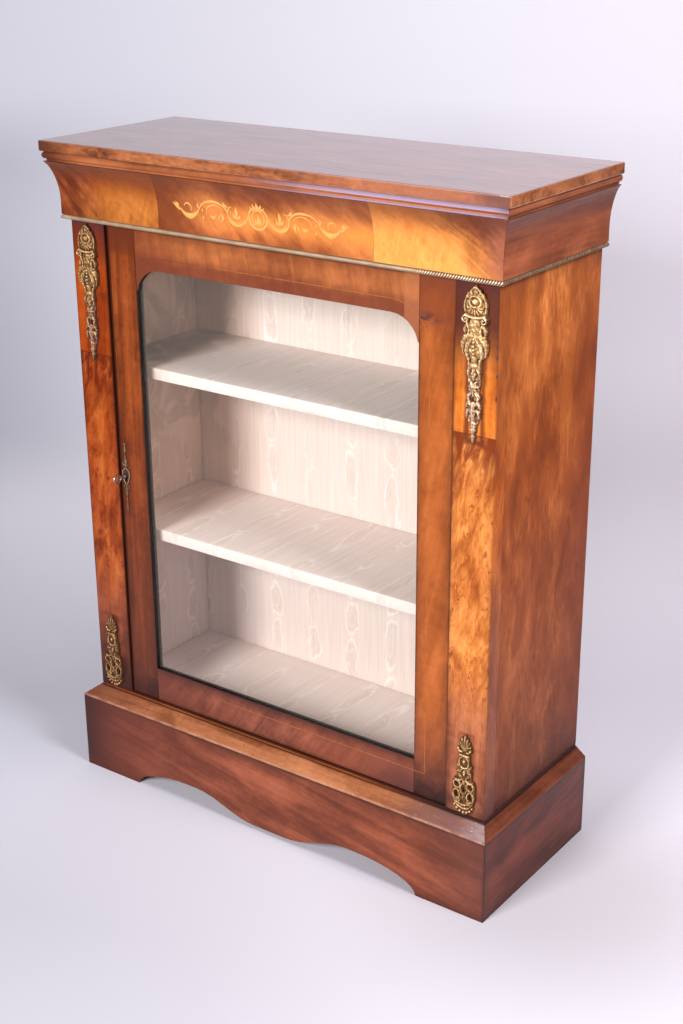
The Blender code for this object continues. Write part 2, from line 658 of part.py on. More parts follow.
def make_shelves():
    half = LINING_X - SHELF_PLAY
    back = LINING_BACK_Y - SHELF_PLAY
    for level, rise in (("lower", LOWER_SHELF_RISE), ("upper", UPPER_SHELF_RISE)):
        high = BOTTOM_TOP_Z + rise
        low = high - SHELF_THICK
        shelf = board("shelf_" + level, (-half, INSIDE_FRONT_Y, low), (half, back, high), "silk",
                      SHELF_EDGE, 2)
        soften(shelf.data)
        bearer_high = low - SEAT_GAP
        bearer_low = bearer_high - BEARER_TALL
        for side, hand in (("left", -1), ("right", 1)):
            ends = sorted((hand * LINING_X, hand * (LINING_X - BEARER_WIDE)))
            board("bearer_" + level + "_" + side,
                  (ends[0], INSIDE_FRONT_Y + BEARER_SETBACK, bearer_low),
                  (ends[1], back - SEAT_GAP, bearer_high), "silk", BEARER_EDGE)


def window_outline():
    """The glazed opening: square at its foot, rounded at its head."""
    points = [(-WINDOW_X, WINDOW_LOW_Z), (WINDOW_X, WINDOW_LOW_Z)]
    for hand, start in ((1, 0), (-1, pi / 2)):
        centre = (hand * (WINDOW_X - WINDOW_CORNER), WINDOW_HIGH_Z - WINDOW_CORNER)
        for step in range(WINDOW_CORNER_STEPS + 1):
            angle = start + pi / 2 * step / WINDOW_CORNER_STEPS
            points.append((centre[0] + WINDOW_CORNER * cos(angle),
                           centre[1] + WINDOW_CORNER * sin(angle)))
    return points


def top_rail_outline():
    """The rail with the two spandrels that round the window's upper corners."""
    rounded = window_outline()[2:]
    head = [(-WINDOW_X + SEAT_GAP / 2, DOOR_HIGH_Z), (WINDOW_X - SEAT_GAP / 2, DOOR_HIGH_Z)]
    low = WINDOW_HIGH_Z - WINDOW_CORNER
    inner = [(min(max(across, -WINDOW_X + SPANDREL_TIP), WINDOW_X - SPANDREL_TIP), up)
             for across, up in rounded if up > low + SPANDREL_TIP]
    feet = [(WINDOW_X - SEAT_GAP / 2, inner[0][1])]
    return head[:1] + [(-WINDOW_X + SEAT_GAP / 2, inner[-1][1])] + inner[::-1] + feet + head[1:]


def make_door():
    """Two stiles, two rails and the glazing, carried by an empty on the pivots' axis."""
    door = empty_at("door_axis", (PIVOT_X, PIVOT_Y, 0))
    rebate = block_cutter("glass_rebate_cut",
                          (-WINDOW_X - GLASS_REBATE, GLASS_Y, WINDOW_LOW_Z - GLASS_REBATE),
                          (WINDOW_X + GLASS_REBATE, DOOR_BACK_Y + CUT_OVERRUN, WINDOW_HIGH_Z + GLASS_REBATE))
    inner = WINDOW_X + SEAT_GAP / 2
    stile_left = board("door_stile_left", (DOOR_LOCK_X, DOOR_FACE_Y, DOOR_LOW_Z),
                       (-inner, DOOR_BACK_Y, DOOR_HIGH_Z), "walnut", carrier=door)
    stile_right = board("door_stile_right", (inner, DOOR_FACE_Y, DOOR_LOW_Z),
                        (DOOR_HINGE_X, DOOR_BACK_Y, DOOR_HIGH_Z), "walnut", carrier=door)
    rail_half = WINDOW_X - SEAT_GAP / 2
    rail_bottom = board("door_rail_bottom", (-rail_half, DOOR_FACE_Y, DOOR_LOW_Z),
                        (rail_half, DOOR_BACK_Y, WINDOW_LOW_Z), "walnut", carrier=door)
    mesh = plate_mesh("door_rail_top", [top_rail_outline()], DOOR_THICK, FRONT)
    soften(mesh)
    rail_top = add_piece("door_rail_top", mesh, "walnut", (0, (DOOR_FACE_Y + DOOR_BACK_Y) / 2, 0), door)
    for piece in (stile_left, stile_right, rail_bottom, rail_top):
        boolean(piece, rebate)
    make_glazing(door)
    return door, stile_left, stile_right


def make_glazing(door):
    """The pane in its rebate, held by four beads at the back of the door."""
    across = WINDOW_X + GLASS_REBATE - GLASS_PLAY
    low = WINDOW_LOW_Z - GLASS_REBATE + GLASS_PLAY
    high = WINDOW_HIGH_Z + GLASS_REBATE - GLASS_PLAY
    front = GLASS_Y + SEAT_GAP
    board("glass_pane", (-across, front, low), (across, front + GLASS_THICK, high), "glass", carrier=door)
    front += GLASS_THICK + SEAT_GAP
    back = front + GLAZING_BEAD
    edge = WINDOW_X + GLASS_REBATE - SEAT_GAP
    foot = WINDOW_LOW_Z - GLASS_REBATE + SEAT_GAP
    head = WINDOW_HIGH_Z + GLASS_REBATE - SEAT_GAP
    for name, hand in (("glazing_bead_left", -1), ("glazing_bead_right", 1)):
        ends = sorted((hand * edge, hand * (edge - GLAZING_BEAD)))
        board(name, (ends[0], front, foot), (ends[1], back, head), "ebonised", EASED_EDGE, carrier=door)
    between = edge - GLAZING_BEAD - SEAT_GAP
    board("glazing_bead_bottom", (-between, front, foot), (between, back, foot + GLAZING_BEAD),
          "ebonised", EASED_EDGE, carrier=door)
    board("glazing_bead_top", (-between, front, head - GLAZING_BEAD), (between, back, head),
          "ebonised", EASED_EDGE, carrier=door)


def pivot_box(low, high, grow):
    """Corners of a pivot plate between two heights, grown by a clearance on its four edges."""
    left = PIVOT_X - PIVOT_PLATE_LENGTH + PIVOT_PLATE_END - grow
    right = PIVOT_X + PIVOT_PLATE_END + grow
    half = PIVOT_PLATE_WIDTH / 2 + grow
    return (left, PIVOT_Y - half, low), (right, PIVOT_Y + half, high)


def pivot_set(level, carcase_z, door_z, up, door, stile, carcase_piece):
    """A pin on a plate let into the carcase, and the holed plate let into the door's edge.

    up is 1 at the foot, where the pin rises into the door, and -1 at the head.
    """
    seat = up * (PIVOT_PLATE_THICK + SEAT_GAP)
    low, high = sorted((carcase_z, carcase_z - up * PIVOT_PLATE_THICK))
    plate = board("pivot_pin_" + level, *pivot_box(low, high, 0), "brass")
    tip = carcase_z + up * PIVOT_PIN_RISE
    root = carcase_z - up * PIVOT_PLATE_THICK / 2
    pin = cutter("pin_" + level, drum_mesh("pin_" + level, PIVOT_PIN_RADIUS, abs(tip - root)),
                 (PIVOT_X, PIVOT_Y, (tip + root) / 2))
    boolean(plate, pin, 'UNION')
    low, high = sorted((carcase_z + up * CUT_OVERRUN, carcase_z - seat))
    boolean(carcase_piece, block_cutter("pivot_seat_" + level, *pivot_box(low, high, SEAT_GAP)))
    low, high = sorted((door_z, door_z + up * PIVOT_PLATE_THICK))
    socket = board("pivot_socket_" + level, *pivot_box(low, high, 0), "brass", carrier=door)
    hole_radius = PIVOT_PIN_RADIUS + PIVOT_PLAY
    depth = tip + up * PIVOT_PLAY * 2 - door_z + up * CUT_OVERRUN
    middle = door_z - up * CUT_OVERRUN + depth / 2
    hole = cutter("pin_hole_" + level, drum_mesh("pin_hole_" + level, hole_radius, abs(depth)),
                  (PIVOT_X, PIVOT_Y, middle))
    boolean(socket, hole)
    low, high = sorted((door_z - up * CUT_OVERRUN, door_z + seat))
    boolean(stile, block_cutter("socket_seat_" + level, *pivot_box(low, high, SEAT_GAP)))
    boolean(stile, hole)


def keyhole_outline(play):
    """A round hole for the stem over a slot that lets the bit through."""
    radius = KEY_STEM_RADIUS + play
    half = KEY_BIT_THICK / 2 + play
    start = -pi / 2 + KEYHOLE_SLOT_ANGLE
    arc = 2 * (pi - KEYHOLE_SLOT_ANGLE)
    turns = [start + arc * step / ROUND_SIDES for step in range(ROUND_SIDES + 1)]
    points = [(radius * cos(angle), radius * sin(angle)) for angle in turns]
    low = -KEY_BIT_RADIUS - play
    return points + [(-half, points[-1][1]), (-half, low), (half, low), (half, points[0][1])]


def make_lock(door, stile):
    """A cut lock let into the back of the stile, with its bolt and its key in place."""
    case_low = (DOOR_LOCK_X, LOCK_Y, KEY_Z + LOCK_ABOVE_KEY - LOCK_TALL)
    case_high = (DOOR_LOCK_X + LOCK_WIDTH, DOOR_BACK_Y, KEY_Z + LOCK_ABOVE_KEY)
    case = board("lock_case", case_low, case_high, "brass", carrier=door)
    seat_low = (case_low[0] - CUT_OVERRUN, case_low[1] - SEAT_GAP, case_low[2] - SEAT_GAP)
    seat_high = (case_high[0] + SEAT_GAP, case_high[1] + CUT_OVERRUN, case_high[2] + SEAT_GAP)
    boolean(stile, block_cutter("lock_seat", seat_low, seat_high))
    room_low = [edge + LOCK_WALL for edge in case_low]
    room_high = [edge - LOCK_WALL for edge in case_high]
    boolean(case, block_cutter("lock_room", room_low, room_high))

    bolt_y = LOCK_Y + LOCK_WALL + BOLT_PLAY + BOLT_THICK / 2
    bolt_high = KEY_Z - BOLT_BELOW_KEY
    bolt_low = bolt_high - BOLT_TALL
    slot_low = (case_low[0] - CUT_OVERRUN, bolt_y - BOLT_THICK / 2 - BOLT_PLAY, bolt_low - BOLT_PLAY)
    slot_high = (room_low[0] + CUT_OVERRUN, bolt_y + BOLT_THICK / 2 + BOLT_PLAY, bolt_high + BOLT_PLAY)
    boolean(case, block_cutter("bolt_slot", slot_low, slot_high))

    slide = empty_at("bolt_axis", (DOOR_LOCK_X, bolt_y, (bolt_low + bolt_high) / 2))
    carry(slide, door)
    bolt = board("lock_bolt", (DOOR_LOCK_X + SEAT_GAP, bolt_y - BOLT_THICK / 2, bolt_low),
                 (DOOR_LOCK_X + BOLT_LENGTH, bolt_y + BOLT_THICK / 2, bolt_high), "steel", carrier=slide)
    notch_depth = KEY_Z - KEY_BIT_RADIUS - 2 * BOLT_PLAY
    half = KEY_BIT_THICK / 2
    boolean(bolt, block_cutter("talon", (KEY_X - half - TALON_LEAD, bolt_y - BOLT_THICK, notch_depth),
                               (KEY_X + half + TALON_LAG, bolt_y + BOLT_THICK, bolt_high + CUT_OVERRUN)))

    hole_front = DOOR_FACE_Y - ESCUTCHEON_THICK - CUT_OVERRUN
    hole_back = LOCK_Y + LOCK_WALL + BOLT_PLAY
    hole = plate_mesh("keyhole", [keyhole_outline(KEY_HOLE_PLAY)], hole_back - hole_front, FRONT)
    keyhole = cutter("keyhole", hole, (KEY_X, (hole_front + hole_back) / 2, KEY_Z))
    boolean(stile, keyhole)
    boolean(case, keyhole)
    make_escutcheon(door, keyhole)
    make_key(door, bolt_y)
    return bolt_y, bolt_low, bolt_high


def mirrored_outline(shares, tall, wide):
    """Both halves of an upright ornament's outline, from its foot up one side and down the other."""
    right = [(wide / 2 * out, tall * up) for up, out in shares]
    return right + [(-across, up) for across, up in reversed(right)]


def make_escutcheon(door, keyhole):
    foot = KEY_Z - ESCUTCHEON_TALL * KEYHOLE_PLACE_SHARE
    outline = mirrored_outline(ESCUTCHEON_SHARES, ESCUTCHEON_TALL, ESCUTCHEON_WIDE)
    mesh = plate_mesh("escutcheon", [outline], ESCUTCHEON_THICK, FRONT)
    place = (KEY_X, DOOR_FACE_Y - SEAT_GAP - ESCUTCHEON_THICK / 2, foot)
    plate = add_piece("escutcheon", mesh, "gilt", place, door)
    boolean(plate, keyhole)


def make_key(door, bolt_y):
    """The key in the lock: oval bow, stem with a collar, and the bit down in the bolt's notch."""
    turn = empty_at("key_axis", (KEY_X, DOOR_FACE_Y, KEY_Z))
    carry(turn, door)
    bow_y = DOOR_FACE_Y - KEY_BOW_REACH
    stem_front = bow_y + KEY_BOW_LONG / 2 - KEY_BOW_WIRE
    stem_back = bolt_y + KEY_BIT_WIDE / 2
    stem = drum_mesh("key", KEY_STEM_RADIUS, stem_back - stem_front, FRONT)
    soften(stem)
    key = add_piece("key", stem, "steel", (KEY_X, (stem_front + stem_back) / 2, KEY_Z), turn)
    bow = bpy.data.curves.new("key_bow", 'CURVE')
    bow.dimensions = '3D'
    bow.bevel_depth = KEY_BOW_WIRE
    bow.bevel_resolution = 2
    ring = bow.splines.new('POLY')
    ring.points.add(ROUND_SIDES - 1)
    for number, point in enumerate(ring.points):
        angle = 2 * pi * number / ROUND_SIDES
        point.co = (0, (KEY_BOW_LONG / 2 - KEY_BOW_WIRE) * cos(angle),
                    (KEY_BOW_TALL / 2 - KEY_BOW_WIRE) * sin(angle), 1)
    ring.use_cyclic_u = True
    bow_mesh = curve_to_mesh("key_bow", bow)
    boolean(key, cutter("key_bow", bow_mesh, (KEY_X, bow_y, KEY_Z)), 'UNION')
    collar = drum_mesh("key_collar", KEY_COLLAR_RADIUS, KEY_COLLAR_LONG, FRONT)
    boolean(key, cutter("key_collar", collar, (KEY_X, DOOR_FACE_Y - KEY_COLLAR_REACH, KEY_Z)), 'UNION')
    half = KEY_BIT_THICK / 2
    bit = block_cutter("key_bit", (KEY_X - half, bolt_y - KEY_BIT_WIDE / 2, KEY_Z - KEY_BIT_RADIUS),
                       (KEY_X + half, stem_back - KEY_BIT_SETBACK, KEY_Z))
    boolean(key, bit, 'UNION')


def make_keep(bolt_y, bolt_low, bolt_high):
    """The brass keep in the left pilaster's edge, and the stop that the closed door rests on."""
    pilaster = bpy.data.objects["pilaster_left"]
    middle = (bolt_low + bolt_high) / 2
    low = (-PILASTER_X - KEEP_THICK, bolt_y - KEEP_WIDE / 2, middle - KEEP_TALL / 2)
    high = (-PILASTER_X, bolt_y + KEEP_WIDE / 2, middle + KEEP_TALL / 2)
    keep = board("keep_plate", low, high, "brass")
    seat_low = [edge - SEAT_GAP for edge in low]
    seat_high = (high[0] + CUT_OVERRUN, high[1] + SEAT_GAP, high[2] + SEAT_GAP)
    boolean(pilaster, block_cutter("keep_seat", seat_low, seat_high))
    reach = DOOR_LOCK_X + SEAT_GAP - BOLT_THROW - 2 * BOLT_PLAY
    half = BOLT_THICK / 2 + 2 * BOLT_PLAY
    slot = block_cutter("keep_slot", (reach, bolt_y - half, bolt_low - 2 * BOLT_PLAY),
                        (high[0] + CUT_OVERRUN, bolt_y + half, bolt_high + 2 * BOLT_PLAY))
    boolean(keep, slot)
    boolean(pilaster, slot)

    back = DOOR_BACK_Y + SEAT_GAP + STOP_THICK
    front = DOOR_BACK_Y + SEAT_GAP
    outer = -PILASTER_X - STOP_WIDE
    lap = DOOR_LOCK_X + STOP_LAP
    step = -PILASTER_X - SEAT_GAP
    outline = [(outer, BEHIND_FRONT_Y + SEAT_GAP), (step, BEHIND_FRONT_Y + SEAT_GAP), (step, front),
               (lap, front), (lap, back), (outer, back)]
    upright("door_stop", outline, LINING_FLOOR_Z + SEAT_GAP, RAIL_Z - SEAT_GAP, "walnut")


def both_hands(table):
    """Repeat each row that stands off the middle on the other hand, leaning the other way."""
    rows = []
    for row in table:
        rows.append(row)
        if row[0] > 0:
            rows.append((-row[0], *row[1:-1], -row[-1]))
    return rows


def oval_outline(across, up, half_wide, half_tall):
    turns = [2 * pi * number / FORM_ROUNDS for number in range(FORM_ROUNDS)]
    return [(across + half_wide * cos(angle), up + half_tall * sin(angle)) for angle in turns]


def gilt_mount_mesh(name, shares, forms, piercings, tall, wide, relief):
    """A cast mount: a thin pierced ground in its own outline, with rounded forms raised on it.

    The ground runs past the mount's back, which one cut then makes flat for ground and forms alike.
    """
    ground = relief * MOUNT_PLATE_SHARE
    outlines = [mirrored_outline(shares, tall, wide)]
    for across, up, half_wide, half_tall, _ in both_hands([(*row, 0) for row in piercings]):
        outlines.append(oval_outline(across * wide / 2, up * tall, half_wide * wide / 2, half_tall * tall))
    mesh = plate_mesh(name, outlines, ground + CUT_OVERRUN, FRONT)
    mesh.transform(Matrix.Translation((0, (CUT_OVERRUN - ground) / 2, 0)))
    shape = bmesh.new()
    for across, up, half_wide, half_tall, height, lean in both_hands(forms):
        size = Matrix.Diagonal((half_wide * wide / 2, height * relief, half_tall * tall, 1))
        tilt = Matrix.Rotation(lean * pi / 2, 4, 'Y')
        place = Matrix.Translation((across * wide / 2, -ground / 2, up * tall))
        bmesh.ops.create_uvsphere(shape, u_segments=FORM_ROUNDS, v_segments=FORM_RINGS, radius=1,
                                  matrix=place @ tilt @ size)
    raised = bpy.data.meshes.new(name + "_forms")
    shape.to_mesh(raised)
    shape.free()
    return mesh, raised


def gilt_mount(name, hand, foot, shares, forms, piercings, tall, wide, relief):
    ground, raised = gilt_mount_mesh(name, shares, forms, piercings, tall, wide, relief)
    place = (hand * MOUNT_X, FACE_Y - SEAT_GAP, foot)
    mount = add_piece(name, ground, "gilt", place)
    step = boolean(mount, cutter(name + "_forms", raised, place), 'UNION').modifiers[-1]
    step.use_self = True
    behind = block_cutter(name + "_behind", (place[0] - wide, place[1], foot - tall),
                          (place[0] + wide, place[1] + relief + 2 * CUT_OVERRUN, foot + 2 * tall))
    boolean(mount, behind)
    soften(ground)


def make_mounts():
    upper_foot = RAIL_Z - UPPER_MOUNT_DROP - UPPER_MOUNT_TALL
    lower_foot = BOTTOM_TOP_Z + LOWER_MOUNT_RISE
    for side, hand in (("left", -1), ("right", 1)):
        gilt_mount("upper_mount_" + side, hand, upper_foot, UPPER_MOUNT_SHARES,
                   UPPER_MOUNT_FORM_SHARES, UPPER_PIERCING_SHARES,
                   UPPER_MOUNT_TALL, UPPER_MOUNT_WIDE, UPPER_MOUNT_RELIEF)
        gilt_mount("lower_mount_" + side, hand, lower_foot, LOWER_MOUNT_SHARES,
                   LOWER_MOUNT_FORM_SHARES, LOWER_PIERCING_SHARES,
                   LOWER_MOUNT_TALL, LOWER_MOUNT_WIDE, LOWER_MOUNT_RELIEF)


def make_cabinet():
    make_top()
    make_cornice()
    make_plinth()
    make_carcase()
    make_lining()
    make_shelves()
    door, stile_left, stile_right = make_door()
    pivot_set("lower", BOTTOM_TOP_Z, DOOR_LOW_Z, 1, door, stile_right, bpy.data.objects["bottom_board"])
    pivot_set("upper", RAIL_Z, DOOR_HIGH_Z, -1, door, stile_right, bpy.data.objects["frieze_rail"])
    bolt_y, bolt_low, bolt_high = make_lock(door, stile_left)
    make_keep(bolt_y, bolt_low, bolt_high)
    make_mounts()


clear_scene()
PARTS = new_collection("side_cabinet")
CUTTERS = new_collection("cutters")
make_cabinet()
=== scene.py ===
# %% [markdown]
# # A glazed walnut side cabinet, dressed for its photograph
# The joinery comes in as solids that are already the right size. This script adds what a
# polisher, a marquetry cutter, a bronze founder and an upholsterer would add: figured veneer,
# an inlaid frieze, cast gilt mounts, a rope bead and shelves covered in watered silk.
# First the empty bench is cleared and the joinery is loaded. Everything is in metres.

# %% Load the joinery
import json
import math
import random

import bmesh
import bpy
import numpy as np
from mathutils import Matrix, Vector, noise
from mathutils.bvhtree import BVHTree

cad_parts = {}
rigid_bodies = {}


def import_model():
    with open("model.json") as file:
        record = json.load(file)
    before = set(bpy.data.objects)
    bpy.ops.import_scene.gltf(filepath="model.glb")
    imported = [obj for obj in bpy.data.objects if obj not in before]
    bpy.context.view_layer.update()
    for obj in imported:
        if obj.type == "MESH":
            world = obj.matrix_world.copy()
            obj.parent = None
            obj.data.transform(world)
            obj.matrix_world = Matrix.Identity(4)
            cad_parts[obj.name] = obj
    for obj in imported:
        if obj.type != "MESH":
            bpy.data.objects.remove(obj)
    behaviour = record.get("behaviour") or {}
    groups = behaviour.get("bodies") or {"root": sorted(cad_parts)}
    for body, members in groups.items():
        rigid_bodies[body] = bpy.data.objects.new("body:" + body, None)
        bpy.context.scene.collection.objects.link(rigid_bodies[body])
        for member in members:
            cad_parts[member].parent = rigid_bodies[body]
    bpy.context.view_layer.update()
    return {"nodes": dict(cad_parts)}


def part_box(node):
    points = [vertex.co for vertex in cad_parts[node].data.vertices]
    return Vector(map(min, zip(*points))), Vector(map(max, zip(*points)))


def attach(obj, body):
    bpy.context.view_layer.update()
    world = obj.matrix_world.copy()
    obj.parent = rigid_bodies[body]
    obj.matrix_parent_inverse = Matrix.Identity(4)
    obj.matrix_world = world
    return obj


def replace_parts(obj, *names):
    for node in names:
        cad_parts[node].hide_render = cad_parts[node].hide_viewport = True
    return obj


for leftover in list(bpy.data.objects):
    bpy.data.objects.remove(leftover)
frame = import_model()
nodes = frame["nodes"]
MM = 0.001
X, Y, Z = 0, 1, 2

# %% [markdown]
# ## The camera
# The photographer stood to the right of the cabinet, a little over two metres off, and looked
# down on its top. The three turns and the lens were solved from the cabinet's own corners, so
# the camera is set by its place, its turns and its focal length, and never by eye.

# %% Set up the camera
CAMERA_PLACE = Vector((1.3745, -1.8341, 1.4091))
CAMERA_YAW = math.radians(36.1)
CAMERA_PITCH = math.radians(21.6)
CAMERA_ROLL = math.radians(-0.4)
LENS = 56.44
SENSOR = 36.0
ASIDE = Vector((math.cos(CAMERA_YAW), math.sin(CAMERA_YAW), 0))
AHEAD = Vector((-math.sin(CAMERA_YAW), math.cos(CAMERA_YAW), 0))


def put(name, data):
    """A new object in the scene."""
    thing = bpy.data.objects.new(name, data)
    bpy.context.scene.collection.objects.link(thing)
    return thing


def camera_turn():
    """The camera's right, up and backward directions as a turn."""
    level = math.cos(CAMERA_PITCH)
    forward = Vector((-math.sin(CAMERA_YAW) * level, math.cos(CAMERA_YAW) * level, -math.sin(CAMERA_PITCH)))
    above = ASIDE.cross(forward)
    right = ASIDE * math.cos(CAMERA_ROLL) + above * math.sin(CAMERA_ROLL)
    up = above * math.cos(CAMERA_ROLL) - ASIDE * math.sin(CAMERA_ROLL)
    return Matrix((right, up, -forward)).transposed()


lens = bpy.data.cameras.new("camera")
lens.lens = LENS
lens.sensor_width = SENSOR
camera = put("camera", lens)
camera.matrix_world = Matrix.Translation(CAMERA_PLACE) @ camera_turn().to_4x4()
bpy.context.scene.camera = camera
print("camera", round(CAMERA_PLACE.length, 3), "m from the cabinet's foot")

# %% [markdown]
# ## Mixing finishes
# Every surface here gets its look from nodes that are worked out from the place on the object,
# in metres, so nothing depends on pictures or on unwrapping. Two small helpers keep the recipes
# readable. A finish lays one node with each method and gives back its outlet as an amount, and
# plain arithmetic with amounts lays the Math nodes. Grain is noise that is squeezed across the
# board and drawn out along it, and the sizes that are written are real ones.

# %% Helpers for finishes
class Amount:
    """One outlet of a finish's nodes, for use in sums."""

    def __init__(self, mix, socket):
        self.mix = mix
        self.socket = socket

    def __abs__(self):
        return self.mix.maths("ABSOLUTE", self)


SIGNS = (("add", "ADD"), ("sub", "SUBTRACT"), ("mul", "MULTIPLY"), ("truediv", "DIVIDE"), ("pow", "POWER"))
for sign, operation in SIGNS:
    setattr(Amount, f"__{sign}__", lambda one, other, kind=operation: one.mix.maths(kind, one, other))
    setattr(Amount, f"__r{sign}__", lambda one, other, kind=operation: one.mix.maths(kind, other, one))


class Finish:
    """One finish being mixed. Each method lays nodes and gives back their outlet."""

    def __init__(self, name):
        self.material = bpy.data.materials.new(name)
        self.material.use_nodes = True
        self.tree = self.material.node_tree
        self.shader = self.tree.nodes["Principled BSDF"]
        places = self.lay("TexCoord", {}).outputs
        self.place = Amount(self, places["Object"])
        self.axes = self.split(self.place)
        self.facing = self.split(Amount(self, places["Normal"]))

    def feed(self, socket, value):
        if isinstance(value, Amount):
            self.tree.links.new(value.socket, socket)
        elif socket.type == "RGBA":
            socket.default_value = (*value, 1)
        else:
            socket.default_value = value

    def lay(self, kind, feeds, **settings):
        node = self.tree.nodes.new("ShaderNode" + kind)
        for name, value in settings.items():
            setattr(node, name, value)
        for name, value in feeds.items():
            self.feed(node.inputs[name], value)
        return node

    def get(self, kind, feeds, outlet=0, **settings):
        return Amount(self, self.lay(kind, feeds, **settings).outputs[outlet])

    def split(self, vector):
        return [Amount(self, outlet) for outlet in self.lay("SeparateXYZ", {0: vector}).outputs]

    def stored(self, name):
        """A number that was stored on the mesh's points."""
        return self.get("Attribute", {}, "Fac", attribute_name=name)

    def sized(self, sizes, turn, shift):
        """The place, measured in lengths of sizes along each axis, after a turn."""
        if not isinstance(sizes, tuple):
            sizes = (sizes, sizes, sizes)
        feeds = {"Vector": self.place, "Scale": sizes, "Rotation": turn, "Location": shift}
        return self.get("Mapping", feeds, vector_type="TEXTURE")

    def cloud(self, sizes, detail=2.0, warp=0.0, rough=0.5, turn=(0, 0, 0), shift=(0, 0, 0)):
        """Soft noise about one half, in lumps of those sizes."""
        feeds = {"Vector": self.sized(sizes, turn, shift), "Scale": 1.0, "Detail": detail,
                 "Distortion": warp, "Roughness": rough}
        return self.get("TexNoise", feeds, "Fac")

    def spots(self, sizes, low, high, shift=(0, 0, 0)):
        """Round spots, one in each cell of those sizes, that fade from low to high."""
        feeds = {"Vector": self.sized(sizes, (0, 0, 0), shift), "Scale": 1.0}
        return self.reach(self.get("TexVoronoi", feeds, "Distance"), low, high, 1.0, 0.0)

    def maths(self, operation, first, second=0.0, clamp=False):
        return self.get("Math", {0: first, 1: second}, operation=operation, use_clamp=clamp)

    def far(self, aside, ahead):
        """The straight length of two lengths at right angles."""
        return self.maths("SQRT", aside ** 2 + ahead ** 2)

    def reach(self, value, low, high, start=0.0, end=1.0):
        """Eases from start to end while value goes from low to high."""
        feeds = {0: value, 1: low, 2: high, 3: start, 4: end}
        return self.get("MapRange", feeds, interpolation_type="SMOOTHSTEP")

    def between(self, value, low, high, soft):
        """One between two values, and nothing outside them."""
        rising = self.reach(value, low - soft, low + soft)
        return rising * self.reach(value, high - soft, high + soft, 1.0, 0.0)

    def dye(self, share, under, over, mode="MIX"):
        """One colour over another, by share."""
        return self.get("Mix", {0: share, 6: under, 7: over}, 2, data_type="RGBA", blend_type=mode)

    def tint(self, colour, factors):
        return self.dye(1.0, colour, factors, "MULTIPLY")

    def stain(self, colour, axis, clean, full, strength, tone, way="even"):
        """Dyes along an axis: not at all up to clean, and by strength from full on. The way is
        even, ragged as dirt and dark polish are, or a blend mode."""
        place = self.axes[axis]
        if way == "ragged":
            place = place + (self.cloud(0.03, 3, 0.4) - 0.5) * (1.2 * (full - clean))
        ends = (clean, full, 0.0, strength) if clean < full else (full, clean, strength, 0.0)
        return self.dye(self.reach(place, *ends), colour, tone, way if way.isupper() else "MIX")

    def age(self, colour, steps):
        """Takes a colour through steps. Each is a stain's row or a function of (mix, colour)."""
        for step in steps:
            colour = step(self, colour) if callable(step) else self.stain(colour, *step)
        return colour

    def tones(self, value, colours, places=(0.06, 0.38, 0.66, 0.94)):
        """A ramp through colours at places."""
        ramp = self.lay("ValToRGB", {0: value})
        steps = ramp.color_ramp.elements
        for place in places[2:]:
            steps.new(place)
        for step, place in zip(steps, places):
            step.position = place
        for step, colour in zip(steps, colours):
            step.color = (*colour, 1)
        return Amount(self, ramp.outputs[0])

    def finish(self, colour, rough, bump, strength, depth, **levels):
        self.feed(self.shader.inputs["Base Color"], colour)
        self.feed(self.shader.inputs["Roughness"], rough)
        for name, value in levels.items():
            self.feed(self.shader.inputs[name.replace("_", " ")], value)
        if bump:
            feeds = {"Height": bump, "Strength": strength, "Distance": depth}
            self.feed(self.shader.inputs["Normal"], self.get("Bump", feeds))
        return self.material


def coat(node, material):
    nodes[node].data.materials.clear()
    nodes[node].data.materials.append(material)


print("arithmetic for", ", ".join(sign for sign, operation in SIGNS))

# %% [markdown]
# ## French-polished walnut
# Walnut veneer is brown heartwood with darker growth lines, cut thin and laid so that its figure
# shows, under many coats of shellac. Five layers of drawn-out noise give it that look: broad
# bands, soft patches, fine lines, mottle, and faint ripples across the grain that catch the light.
# The layers are kept soft, because polish blurs them. Tones run from the darkest lines to the
# brightest flecks, and the shellac is the shader's coat. Dirt and old polish gather along edges.

# %% Walnut veneer
PORES = (0.0006, 0.0006, 0.009)
OLD_POLISH = (0.035, 0.01, 0.005)
UNTURNED = (0, 0, 0)


def drawn_out(grain, along, across):
    """The sizes of a lump that is long along the grain."""
    return tuple(along if axis == grain else across for axis in "XYZ")


def walnut_figure(mix, grain, turn, band, ripple, shift, calm=0.0):
    """The figure as one value from 0, dark, to 1, light, and the fine lines for the polish's bump.
    calm draws the tones together."""
    def layer(along, across, detail, warp):
        return mix.cloud(drawn_out(grain, along, across), detail, warp, turn=turn, shift=shift)

    fine = layer(0.06, 0.0022, 3, 0.3)
    value = layer(0.34, band, 2, 0.7) * 0.34 + layer(0.1, 0.048, 3, 0.5) * 0.42 + fine * 0.12
    value = value + layer(0.01, 0.006, 2, 0.4) * 0.12 + (layer(0.012, 0.055, 0, 0.6) - 0.5) * ripple
    return mix.reach(value, 0.28 - calm, 0.72 + calm), fine


def polish(mix, colour, fine, gloss=0.36, coat=0.03, shine=0.18):
    """Pores, a slightly uneven shine and the shellac's coat."""
    pore = mix.reach(mix.cloud(PORES, 1), 0.62, 0.74, 0.0, 0.3)
    colour = mix.dye(pore, colour, OLD_POLISH)
    rough = mix.reach(fine, 0.3, 0.7, gloss + 0.05, gloss - 0.05)
    return mix.finish(colour, rough, fine, 0.08, 0.0002, Specular_IOR_Level=shine, Coat_Weight=coat,
                      Coat_Roughness=0.16, Coat_IOR=1.5)


